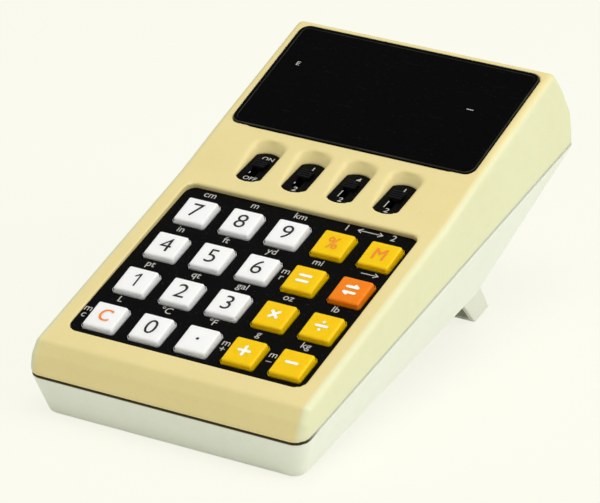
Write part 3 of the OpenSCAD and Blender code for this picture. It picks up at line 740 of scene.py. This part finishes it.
def window_gloss(name):
    """Polished black window with finger smears, dust, hair scratches and painted highlights on its edges."""
    finish = Finish(name)
    smear = finish.noise(15 * MM, detail=4, rough=0.7).above(0.45, 0.75)
    dust = finish.noise(0.4 * MM, detail=1).above(0.73, 0.79)
    where = finish.add("ShaderNodeTexCoord", out="Object")
    drawn = finish.add("ShaderNodeMapping", None,
                       {"Vector": where, "Scale": SCRATCH_DRAWN, "Rotation": SCRATCH_TURN})
    streak = finish.add("ShaderNodeTexNoise", None, {"Vector": drawn, "Scale": SCRATCH_SCALE, "Detail": 2})
    scratch = streak.above(0.68, 0.72)
    tone = finish.mix(dust * 0.06, WINDOW_BLACK, WINDOW_DUST)
    tone = finish.mix(scratch * 0.015, tone, WINDOW_SCRATCH)
    # Painted highlight: the marked chamfer and rim step are grey, as if they caught the light
    tone = finish.mix(finish.attribute("edge") * smear.above(-0.6, 1), tone, WINDOW_EDGE_HIGHLIGHT)
    rough = 0.07 + smear * 0.1 + scratch * 0.1 + dust * 0.3
    return finish.surface(Base_Color=tone, Roughness=rough, Specular_IOR_Level=0.035)


def printed_ink(name, base, wear=0.25):
    """Matt ink, a little thin and rubbed in places."""
    finish = Finish(name)
    rub = finish.noise(0.6 * MM, detail=3, rough=0.7).above(0.5, 0.8)
    tone = finish.mix(rub * wear, base, tint(base, 0.6))
    return finish.surface(Base_Color=tone, Roughness=0.5 + rub * 0.2, Specular_IOR_Level=0.3)


def bare_metal(name, screen, roughness=0.32):
    """Plain metal of a screen colour, with fine marks and dull patches."""
    finish = Finish(name)
    base = linear(*screen)
    dull = finish.noise(3 * MM, detail=3)
    grain = finish.noise(0.3 * MM, detail=2)
    tone = finish.mix(dull, tint(base, 0.8), tint(base, 1.08))
    return finish.surface(Base_Color=tone, Metallic=1.0, Roughness=roughness + (dull - 0.5) * 0.25,
                          Normal=finish.bump(grain, depth=0.01 * MM, strength=0.25))


def flecked(name, screen, fleck, size, roughness=0.5):
    """An inner part's finish: a screen colour with flecks of another."""
    finish = Finish(name)
    spot = finish.noise(size, detail=3, rough=0.6).above(0.5, 0.66)
    tone = finish.mix(spot * 0.5, linear(*screen), linear(*fleck))
    return finish.surface(Base_Color=tone, Roughness=roughness + spot * 0.15)


# Pieces

# Most triangles of a remade piece
SHELL_TRIANGLES = 150000
STAND_TRIANGLES = 60000
# Rounds of smoothing for the lower shell, the stand and the softest places of the upper shell
LOWER_ROUNDS = 3
STAND_ROUNDS = 4
SOFT_ROUNDS = 45
# Voxel of the stand as a share of the shells'
STAND_VOXEL = 0.8
# Where the paler colour of the flanks starts, from the middle of the case: a painted sheen on the sides
FLANK_SHEEN_SPAN = (42.2 * MM, 43.8 * MM)
# Height of the painted shadow and grime in the groove, and where it fades, from the front of the case
SEAM_HEIGHT = 0.6 * MM
SEAM_FADE = (3 * MM, 9 * MM)
# Soft scoops: reach round the switch plate, height where they start, rise to their most, and their most
SCOOP_SIDE = 3 * MM
SCOOP_FRONT = 3 * MM
SCOOP_REAR = 6 * MM
SCOOP_LOW = 0.6 * MM
SCOOP_RISE = 0.8 * MM
SCOOP_MOST = 0.75
# Soft lip behind the panel: reach before and behind the panel's edge, height where it starts, and rise
LIP_FRONT = 1 * MM
LIP_REAR = 3 * MM
LIP_LOW = 0.5 * MM
LIP_RISE = 1 * MM
# Soft rear wall: distance behind the window, height over the parting plane where it starts, and rise
REAR_BEHIND = 3 * MM
REAR_LOW = 2 * MM
REAR_RISE = 2 * MM


class CALCULATOR_OT_case(bpy.types.Operator):
    """Upper and lower shell with soft moulded edges, and the screws that join them"""

    bl_idname = "calculator.case"
    bl_label = "Case"

    def softness(self):
        """The weight of a point of the upper shell that is smoothed further.

        Those points are in the scoops over the switch pads, on the lip behind the panel and on the rear wall.
        """
        pads = Seat("switch_plate", PAD_NORMAL)
        panel = Seat("keypad_panel", PANEL_NORMAL)
        window = Seat("display_window", broad_normal("display_window"))
        normal, reach = parting_plane()

        def inside(place, seat, side, front, rear):
            half = seat.size / 2
            return abs(place.x) < half.x + side and front < place.y - half.y < rear

        def weight(point):
            scoop = lip = rear = 0
            place = pads.where(point)
            if inside(place, pads, SCOOP_SIDE, -pads.size.y - SCOOP_FRONT, SCOOP_REAR):
                scoop = (place.z - SCOOP_LOW) / SCOOP_RISE * SCOOP_MOST
            place = panel.where(point)
            if inside(place, panel, 0, -LIP_FRONT, LIP_REAR):
                lip = (place.z - LIP_LOW) / LIP_RISE
            if window.where(point).y - window.size.y / 2 > REAR_BEHIND:
                rear = (normal.dot(point) - reach - REAR_LOW) / REAR_RISE
            return max(scoop, lip, rear)

        return weight

    def execute(self, context):
        look = context.scene.calculator.case
        softer = (self.softness(), SOFT_ROUNDS)
        upper = moulded_copy("upper_case", "upper_shell", look.voxel, SHELL_TRIANGLES, softer=softer)
        flank_sheen = (look.flank_sheen, *FLANK_SHEEN_SPAN)
        stands_for(upper, "upper_case", moulded_plastic("cream_plastic", look.cream, look.grain, flank_sheen))
        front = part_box("lower_case")[0][1]
        fade = [front + step for step in SEAM_FADE]
        seam = (look.seam_shadow_and_grime, parting_plane(), SEAM_HEIGHT, fade)
        lower = moulded_copy("lower_case", "lower_shell", look.voxel, SHELL_TRIANGLES, LOWER_ROUNDS)
        stands_for(lower, "lower_case", moulded_plastic("white_plastic", look.white, look.grain, seam=seam))
        small_piece("case_screws", "shell_screws", look.bevel, bare_metal("screw_steel", (176, 176, 172)))
        return {"FINISHED"}


# Window: radius of its corners, chamfer of its edge, width of its rim, and how deep its middle lies
WINDOW_CORNER = 3.2 * MM
WINDOW_CHAMFER = 0.3 * MM
WINDOW_RIM = 0.9 * MM
WINDOW_SINK = 0.12 * MM
# How far down the step to the middle the painted highlight on the window's edge reaches, as a share of its depth
EDGE_HIGHLIGHT_STEP = 0.9
# Places of the two indicators from the middle of the window, widening of the letter, and half the dash
LETTER_AT = (-33 * MM, 6 * MM)
LETTER_WIDE = 1.2
DASH_AT = (27 * MM, 2.5 * MM)
DASH_HALF = 1 * MM


class CALCULATOR_OT_display(bpy.types.Operator):
    """Bevelled black window with two small indicator signs, and the tube and board behind it"""

    bl_idname = "calculator.display"
    bl_label = "Display"

    def lens(self, seat):
        """The window, with round corners, a chamfer, and a middle that lies a little under its rim."""
        width, depth, thick = seat.size
        window = block("window_lens", (width, depth, thick), -thick)
        with editing(window, "EDGE"):
            round_edges(window, upright, WINDOW_CORNER, steps=10)
            round_edges(window, level_edge(0), WINDOW_CHAMFER, steps=2)
            bpy.ops.mesh.select_mode(type="FACE")
            pick_faces(window, level(0))
            bpy.ops.mesh.inset(thickness=WINDOW_RIM)
            bpy.ops.mesh.inset(thickness=WINDOW_SINK)
            bpy.ops.transform.translate(value=(0, 0, -WINDOW_SINK))
        smooth(window)
        margin = WINDOW_CHAMFER + WINDOW_RIM

        # The chamfer and the step to the middle, which get a painted highlight
        def worn(middle):
            rim = abs(middle.x) > width / 2 - margin or abs(middle.y) > depth / 2 - margin
            return -WINDOW_CHAMFER < middle.z < -HAIR and (rim or middle.z > -EDGE_HIGHLIGHT_STEP * WINDOW_SINK)

        mark(window, "edge", worn)
        window.data.transform(seat.at())
        return window

    def execute(self, context):
        look = context.scene.calculator.prints
        seat = Seat("display_window", broad_normal("display_window"))
        stands_for(self.lens(seat), "display_window", window_gloss("window_black"))
        flat = look.ink * INK_LIFT - WINDOW_SINK
        dash = [(-DASH_HALF, 0), (DASH_HALF, 0)]
        signs = joined([
            printed("E", seat.at(*LETTER_AT, flat), look.small, look.ink, LETTER_WIDE),
            bar(dash, seat.at(*DASH_AT, flat), look.line, look.ink),
        ], "window_signs")
        printed_on(signs, "display_window", printed_ink("indicator_ink", tint(look.grey, 0.95)))
        glass = flecked("tube_glass", (120, 140, 138), (60, 70, 70), size=2 * MM, roughness=0.12)
        finish_node("display_tube", glass)
        finish_node("display_board", flecked("board_green", (52, 110, 66), (120, 150, 90), size=1.5 * MM))
        return {"FINISHED"}


PANEL_BEVEL = 0.12 * MM
# Places of the panel's signs from the middle of their keys
UNIT_LEFT = 0.8 * MM
SIGN_BEHIND = 9.3 * MM
MEMORY_LEFT = 7.55 * MM
MEMORY_BEHIND = (2.9 * MM, 0.2 * MM)
# Arrows: half the length of the double one and of the single one, place of the single one, and their heads
DOUBLE_HALF = 4 * MM
SINGLE_HALF = 2.7 * MM
SINGLE_RIGHT = 0.6 * MM
ARROW_HEAD = 1.5 * MM


class CALCULATOR_OT_keypad(bpy.types.Operator):
    """Black panel with rounded key openings, and the unit signs printed on it"""

    bl_idname = "calculator.keypad"
    bl_label = "Keypad panel"

    def execute(self, context):
        look = context.scene.calculator.prints
        black = black_plastic("panel_black", (5, 5, 5), roughness=0.34, grain=0.3 * MM, dust=0.14)
        small_piece("keypad_panel", "keypad_plate", PANEL_BEVEL, black)
        seat = Seat("keypad_panel", PANEL_NORMAL)
        spots = {key: seat.where(Seat(key, PANEL_NORMAL).origin) for row in KEY_ROWS for key in row}

        def near(spot, right, behind):
            return seat.at(spot.x + right, spot.y + behind, look.ink * INK_LIFT)

        signs = []
        for keys, words in zip(KEY_ROWS, PANEL_SIGNS):
            for key, word in zip(keys, words):
                if word:
                    place = near(spots[key], -UNIT_LEFT, SIGN_BEHIND)
                    signs.append(printed(word, place, look.unit, look.ink))
        for key, *words in MEMORY_SIGNS:
            for word, behind in zip(words, MEMORY_BEHIND):
                place = near(spots[key], -MEMORY_LEFT, behind)
                signs.append(printed(word, place, look.unit, look.ink))
        left, right = (-DOUBLE_HALF, 0), (DOUBLE_HALF, 0)
        place = near((spots["key_percent"] + spots["key_memory"]) / 2, -UNIT_LEFT, SIGN_BEHIND)
        double = arrow(left, right, ARROW_HEAD) + arrow(right, left, ARROW_HEAD)
        signs += bars(double, place, look.line, look.ink)
        place = near(spots["key_convert"], SINGLE_RIGHT, SIGN_BEHIND)
        single = arrow((-SINGLE_HALF, 0), (SINGLE_HALF, 0), ARROW_HEAD)
        signs += bars(single, place, look.line, look.ink)
        ink = printed_ink("unit_ink", look.grey, wear=0.45)
        printed_on(joined(signs, "panel_signs"), "keypad_panel", ink)
        return {"FINISHED"}


# Key: depth of its foot in the panel, thickness of its flange, and half the width of its stem
KEY_UNDER = 1.5 * MM
KEY_FLANGE = 0.8 * MM
STEM_HALF = 2 * MM
# Rim of a key: width of the step into the groove, its rounding, and how far under it the painted shadow starts
RIM_STEP = 0.03 * MM
RIM_BEVEL = 0.04 * MM
RIM_CLEAN = 0.05 * MM
# Signs on the keys: how far they sit to the right, and the widths and heights of digits and bold letters
SIGN_RIGHT = 0.1 * MM
DIGIT_WIDE = 1.04
BOLD_HIGH = 0.85
BOLD_WIDE = 0.88
BOLD_STEP = 0.1 * MM
# Signs made of bars: gap of two bars as a share of their arm, place of a dot, and stem and flag of the 1
BAR_GAP = 0.68
DOT_UP = 1.55 * MM
ONE_RIGHT = 0.5 * MM
ONE_FLAG = (1.3 * MM, 1.1 * MM)


class CALCULATOR_OT_keys(bpy.types.Operator):
    """Twenty keys with a rim, a groove, a drawn-in cap and a hidden stem, each with its printed sign"""

    bl_idname = "calculator.keys"
    bl_label = "Keys"

    def model(self, look):
        """One key at the origin, with the panel's face at height 0.

        Gives also the matrix from a key's uppermost side to its place, and the one to the slope of its top.
        """
        seat = Seat("key_5", PANEL_NORMAL)
        rise = -seat.where(Seat("keypad_panel", PANEL_NORMAL).origin).z
        wide, long = seat.size.x, seat.size.y - 2 * look.flange
        stem = seat.size.z - rise - KEY_UNDER - KEY_FLANGE
        base = wide - 2 * (look.rim + look.groove)
        taper = (base - 2 * look.draft) / base
        rear = (long / 2 - look.rim - look.groove) * taper - look.shift
        tilt = math.atan2(look.fall, long)
        slope = Matrix.Translation((0, rear, look.top)) @ Matrix.Rotation(tilt, 4, "X")
        key = block("key_form", (wide, long, look.foot + KEY_UNDER), -KEY_UNDER)
        with editing(key, "EDGE"):
            round_edges(key, upright, look.corner, steps=5)
            bpy.ops.mesh.select_mode(type="FACE")
            pick_faces(key, level(look.foot))
            bpy.ops.mesh.inset(thickness=look.rim)
            bpy.ops.mesh.inset(thickness=RIM_STEP)
            grow(-look.depth)
            bpy.ops.mesh.inset(thickness=look.groove)
            bpy.ops.transform.translate(value=(look.shift, -look.shift, 0))
            grow(look.top - look.foot + look.depth)
            pivot = (look.shift, -look.shift, look.top)
            bpy.ops.transform.resize(value=(taper, taper, 1), center_override=pivot)
            bpy.ops.transform.rotate(value=-tilt, orient_axis="X", center_override=(0, rear, look.top))
            pick_faces(key, level(-KEY_UNDER))
            grow(0)
            bpy.ops.transform.resize(value=(1, 1 + 2 * look.flange / long, 1))
            grow(-KEY_FLANGE)
            bpy.ops.mesh.inset(thickness=wide / 2 - STEM_HALF)
            grow(-stem)
            bpy.ops.mesh.select_mode(type="EDGE")
            flat = slope.inverted()
            round_edges(key, lambda *ends: level_edge(0)(*(flat @ end for end in ends)), look.crown, steps=5)
            round_edges(key, level_edge(look.foot), RIM_BEVEL, steps=2)
        smooth(key)
        inner = Vector((wide / 2 - look.rim, long / 2 - look.rim))

        def sunk(middle):
            depth = look.foot - middle.z
            within = abs(middle.x) < inner.x and abs(middle.y) < inner.y
            return RIM_CLEAN < depth < look.depth + HAIR and within

        # The faces marked here get a painted shadow in the key's finish
        mark(key, "groove", sunk)
        return key, Matrix.Translation((0, 0, -rise)), slope @ Matrix.Translation((0, -rear, 0))

    def execute(self, context):
        look = context.scene.calculator.keys
        prints = context.scene.calculator.prints
        plastics = {
            "key_white": key_plastic("key_white", look.white),
            "key_yellow": key_plastic("key_yellow", look.yellow),
            "key_orange": key_plastic("key_orange", look.orange),
        }
        inks = {
            "black": printed_ink("digit_ink", prints.black, wear=0.1),
            "white": printed_ink("sign_ink", prints.white, wear=0.1),
            "orange": printed_ink("worn_ink", prints.orange, wear=0.3),
        }
        model, drop, slope = self.model(look)
        print_place = Matrix.Translation((SIGN_RIGHT, 0, prints.ink * INK_LIFT))
        for node in (name for row in KEY_ROWS for name in row):
            foot = Seat(node, PANEL_NORMAL).at() @ drop
            key = bpy.data.objects.new(node + "_cap", model.data.copy())
            context.scene.collection.objects.link(key)
            key.data.transform(foot)
            stands_for(key, node, plastics[SLOT_OF[node]])
            self.sign(node, foot @ slope @ print_place, prints, inks)
        bpy.data.objects.remove(model)
        return {"FINISHED"}

    def sign(self, node, place, prints, inks):
        """The sign printed on a key: bars, a worn orange letter or a digit."""
        lines = self.lines(prints).get(node)
        if lines:
            ink = "black" if SLOT_OF[node] == "key_white" else "white"
            width = prints.fine if node == "key_1" else prints.stroke
            parts = bars(lines, place, width, prints.ink)
        elif node in ORANGE_SIGNS:
            ink = "orange"
            parts = self.bold(ORANGE_SIGNS[node], place, prints)
        else:
            ink = "black"
            parts = [printed(node[-1], place, prints.digit, prints.ink, DIGIT_WIDE, prints.thin)]
        printed_on(joined(parts, node + "_sign"), node, inks[ink])

    def bold(self, word, place, prints):
        """A bold letter: the same letter twice, side by side and one a hair above the other."""
        step = Vector((BOLD_STEP, 0, prints.ink * INK_STEP / 2))
        places = (place @ Matrix.Translation(side * step) for side in (-1, 1))
        return [printed(word, side, prints.digit * BOLD_HIGH, prints.ink, BOLD_WIDE) for side in places]

    def lines(self, prints):
        """The lines and dots of each sign that is made of bars."""
        arm, gap = prints.arm, prints.arm * BAR_GAP
        flat = [(-arm, 0), (arm, 0)]
        stem = (prints.digit - prints.fine) / 2
        head = (ONE_RIGHT, stem)
        flag = (ONE_RIGHT - ONE_FLAG[0], stem - ONE_FLAG[1])
        rear = arrow((-arm, gap), (arm, gap), gap)
        front = arrow((arm, -gap), (-arm, -gap), gap)
        return {
            "key_plus": [flat, [(0, -arm), (0, arm)]],
            "key_minus": [flat],
            "key_equals": [[(-arm, gap), (arm, gap)], [(-arm, -gap), (arm, -gap)]],
            "key_times": [[(-gap, -gap), (gap, gap)], [(-gap, gap), (gap, -gap)]],
            "key_divide": [flat, [(0, DOT_UP)] * 2, [(0, -DOT_UP)] * 2],
            "key_convert": rear[:2] + front[:2],
            "key_point": [[(0, 0), (0, 0)]],
            "key_1": [[head, (ONE_RIGHT, -stem)], [head, flag]],
        }


# Signs on the pads, from the middle of their knobs: words, and the line beside them
WORD_RIGHT = 0.5 * MM
WORD_BEHIND = (3.4 * MM, -7.05 * MM)
LINE_AT = (-1.15 * MM, -4.3 * MM)
# Height of a number as a share of a word's, and widening of both
NUMBER_HIGH = 1.25
PAD_SIGN_WIDE = 1.1


class CALCULATOR_OT_switches(bpy.types.Operator):
    """Oval pads with their signs, the ribbed slide knobs and the switches under them"""

    bl_idname = "calculator.switches"
    bl_label = "Slide switches"

    def execute(self, context):
        bevel = context.scene.calculator.case.bevel
        look = context.scene.calculator.prints
        black = black_plastic("pad_black", (3, 3, 3), roughness=0.3, grain=0.25 * MM)
        small_piece("switch_plate", "switch_pads", bevel, black)
        grey = black_plastic("knob_grey", (24, 24, 25), roughness=0.42, grain=0.3 * MM, dust=0.3)
        seat = Seat("switch_plate", PAD_NORMAL)
        lift = look.ink * INK_LIFT
        signs = []
        for node, rear, front, half in SWITCH_SIGNS:
            small_piece(node, node + "_cap", bevel, grey)
            spot = seat.where(Seat(node, PAD_NORMAL).origin)
            for word, behind in zip((rear, front), WORD_BEHIND):
                place = seat.at(spot.x + WORD_RIGHT, spot.y + behind, lift)
                capital = look.small * (1 if len(word) > 1 else NUMBER_HIGH)
                signs.append(printed(word, place, capital, look.ink, PAD_SIGN_WIDE))
            place = seat.at(spot.x + LINE_AT[0], spot.y + LINE_AT[1], lift)
            signs.append(bar([(0, -half * MM), (0, half * MM)], place, look.line, look.ink))
        ink = printed_ink("pad_ink", tint(look.grey, 1.05), wear=0.4)
        printed_on(joined(signs, "pad_signs"), "switch_plate", ink)
        finish_node("switch_bodies", flecked("switch_dark", (30, 30, 32), (60, 60, 62), size=1 * MM))
        return {"FINISHED"}


class CALCULATOR_OT_stand(bpy.types.Operator):
    """Channel-shaped tilt stand and the pin that it swings on"""

    bl_idname = "calculator.stand"
    bl_label = "Tilt stand"

    def execute(self, context):
        look = context.scene.calculator.case
        voxel = look.voxel * STAND_VOXEL
        stand = moulded_copy("tilt_stand", "stand_channel", voxel, STAND_TRIANGLES, STAND_ROUNDS)
        stands_for(stand, "tilt_stand", moulded_plastic("ivory_plastic", look.ivory, look.grain))
        small_piece("stand_pin", "stand_axle", look.bevel, bare_metal("pin_steel", (190, 190, 188)))
        return {"FINISHED"}


class CALCULATOR_OT_battery(bpy.types.Operator):
    """Battery door with its finger ridges, and the battery, snap and leads behind it"""

    bl_idname = "calculator.battery"
    bl_label = "Battery"

    def execute(self, context):
        look = context.scene.calculator.case
        white = moulded_plastic("door_plastic", look.white, look.grain)
        wrap = flecked("battery_wrap", (62, 92, 150), (48, 74, 124), size=6 * MM, roughness=0.35)
        black = black_plastic("snap_black", (26, 26, 28), roughness=0.55, grain=0.4 * MM)
        small_piece("battery_door", "battery_lid", look.bevel, white)
        small_piece("battery", "battery_block", look.bevel, wrap)
        small_piece("battery_snap", "battery_clip", look.bevel, black)
        red = flecked("lead_red", (150, 40, 34), (120, 30, 26), size=2 * MM, roughness=0.4)
        finish_node("battery_leads", red)
        return {"FINISHED"}


class CALCULATOR_OT_inside(bpy.types.Operator):
    """Boards, chip, domes and cable inside the case"""

    bl_idname = "calculator.inside"
    bl_label = "Inside"

    def execute(self, context):
        finishes = {
            "main_board": flecked("main_board_green", (48, 104, 62), (150, 160, 96), size=2 * MM),
            "processor_chip": black_plastic("chip_black", (34, 34, 37), roughness=0.5, grain=0.3 * MM),
            "circuit_parts": flecked("parts_blue", (66, 82, 128), (44, 56, 92), size=3 * MM, roughness=0.35),
            "ribbon_cable": flecked("ribbon_grey", (186, 180, 166), (160, 154, 140), size=1 * MM),
            "key_domes": bare_metal("dome_steel", (200, 200, 196), roughness=0.25),
        }
        for node, finish in finishes.items():
            finish_node(node, finish)
        return {"FINISHED"}


# Width of the floor, how much darker its matt part is than the paper, and what the lights look at
FLOOR_SIZE = 12
FLOOR_SHADE = 0.92
LIT_POINT = Vector((0, 0, 0.03))
# Soft lights: name, place and size
LIGHTS = (
    ("main", (1.25, 0.35, 0.95), 0.9),
    ("top", (0.25, -0.25, 1.6), 1.1),
)
# Width of the camera's film in millimetres
FILM_WIDTH = 36


class CALCULATOR_OT_stage(bpy.types.Operator):
    """Pale floor, soft light from the right and from above, and the camera"""

    bl_idname = "calculator.stage"
    bl_label = "Stage"

    def floor(self, look):
        """A wide pale floor that keeps the shadow."""
        alone()
        bpy.ops.mesh.primitive_plane_add(size=FLOOR_SIZE)
        floor = bpy.context.object
        floor.name = "floor"
        finish = Finish("paper_floor")
        matt = finish.add("ShaderNodeBsdfDiffuse", None, {"Color": (*tint(look.paper, FLOOR_SHADE), 1)})
        plain = finish.add("ShaderNodeEmission", None, {"Color": (*look.paper, 1), "Strength": 1.0})
        seen = finish.add("ShaderNodeLightPath", out="Is Camera Ray")
        shiny = finish.add("ShaderNodeLightPath", out="Is Glossy Ray")
        clear = finish.add("ShaderNodeLightPath", out="Is Transmission Ray")
        amount = (seen + shiny + clear) * look.glow
        finish.add_output(finish.add("ShaderNodeMixShader", None, {0: amount, 1: matt, 2: plain}))
        floor.data.materials.append(finish.material)

    def lamp(self, name, place, size, power):
        """A square soft light that looks at the object."""
        alone()
        bpy.ops.object.light_add(type="AREA", location=place)
        lamp = bpy.context.object
        lamp.name = name
        lamp.data.size = size
        lamp.data.energy = power
        lamp.rotation_euler = (LIT_POINT - Vector(place)).to_track_quat("-Z", "Y").to_euler()

    def camera(self, scene, look):
        """The camera, placed by its turn, its height over the horizon and its distance."""
        turn, lift = look.azimuth, look.elevation
        right = Vector((math.cos(turn), math.sin(turn), 0))
        back = Vector((math.cos(lift) * math.sin(turn), -math.cos(lift) * math.cos(turn), math.sin(lift)))
        up = back.cross(right)
        alone()
        bpy.ops.object.camera_add(location=back * look.distance - right * look.aside + up * look.above)
        camera = bpy.context.object
        camera.rotation_euler = Matrix((right, up, back)).transposed().to_euler()
        camera.data.sensor_width = FILM_WIDTH
        camera.data.lens = look.lens
        scene.camera = camera

    def execute(self, context):
        look = context.scene.calculator.stage
        self.floor(look)
        for name, place, size in LIGHTS:
            self.lamp(name + "_light", place, size, getattr(look, name))
        world = bpy.data.worlds.new("even_light")
        world.use_nodes = True
        shade = world.node_tree.nodes["Background"]
        shade.inputs["Color"].default_value = (1, 1, 1, 1)
        shade.inputs["Strength"].default_value = look.world
        context.scene.world = world
        context.scene.view_settings.view_transform = "Standard"
        self.camera(context.scene, look)
        return {"FINISHED"}


class CALCULATOR_PT_looks(bpy.types.Panel):
    """Lists the sizes and colours of the calculator and the steps that make it"""

    bl_idname = "CALCULATOR_PT_looks"
    bl_label = "Desk calculator"
    bl_space_type = "VIEW_3D"
    bl_region_type = "UI"
    bl_category = "Calculator"

    def draw(self, context):
        look = context.scene.calculator
        for group in (look.case, look.keys, look.prints, look.stage):
            box = self.layout.box()
            for name in group.bl_rna.properties.keys():
                if name not in ("rna_type", "name"):
                    box.prop(group, name)
        for step in STEPS:
            self.layout.operator(step.bl_idname)


STEPS = (
    CALCULATOR_OT_stage,
    CALCULATOR_OT_case,
    CALCULATOR_OT_display,
    CALCULATOR_OT_keypad,
    CALCULATOR_OT_keys,
    CALCULATOR_OT_switches,
    CALCULATOR_OT_stand,
    CALCULATOR_OT_battery,
    CALCULATOR_OT_inside,
)
CLASSES = (CaseLook, KeyLook, PrintLook, StageLook, CalculatorLook) + STEPS + (CALCULATOR_PT_looks,)


def register():
    for kind in CLASSES:
        bpy.utils.register_class(kind)
    bpy.types.Scene.calculator = PointerProperty(type=CalculatorLook)


def unregister():
    del bpy.types.Scene.calculator
    for kind in reversed(CLASSES):
        bpy.utils.unregister_class(kind)


def main():
    """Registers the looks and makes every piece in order."""
    register()
    for step in STEPS:
        group, name = step.bl_idname.split(".")
        getattr(getattr(bpy.ops, group), name)()
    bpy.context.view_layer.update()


if __name__ == "__main__":
    main()
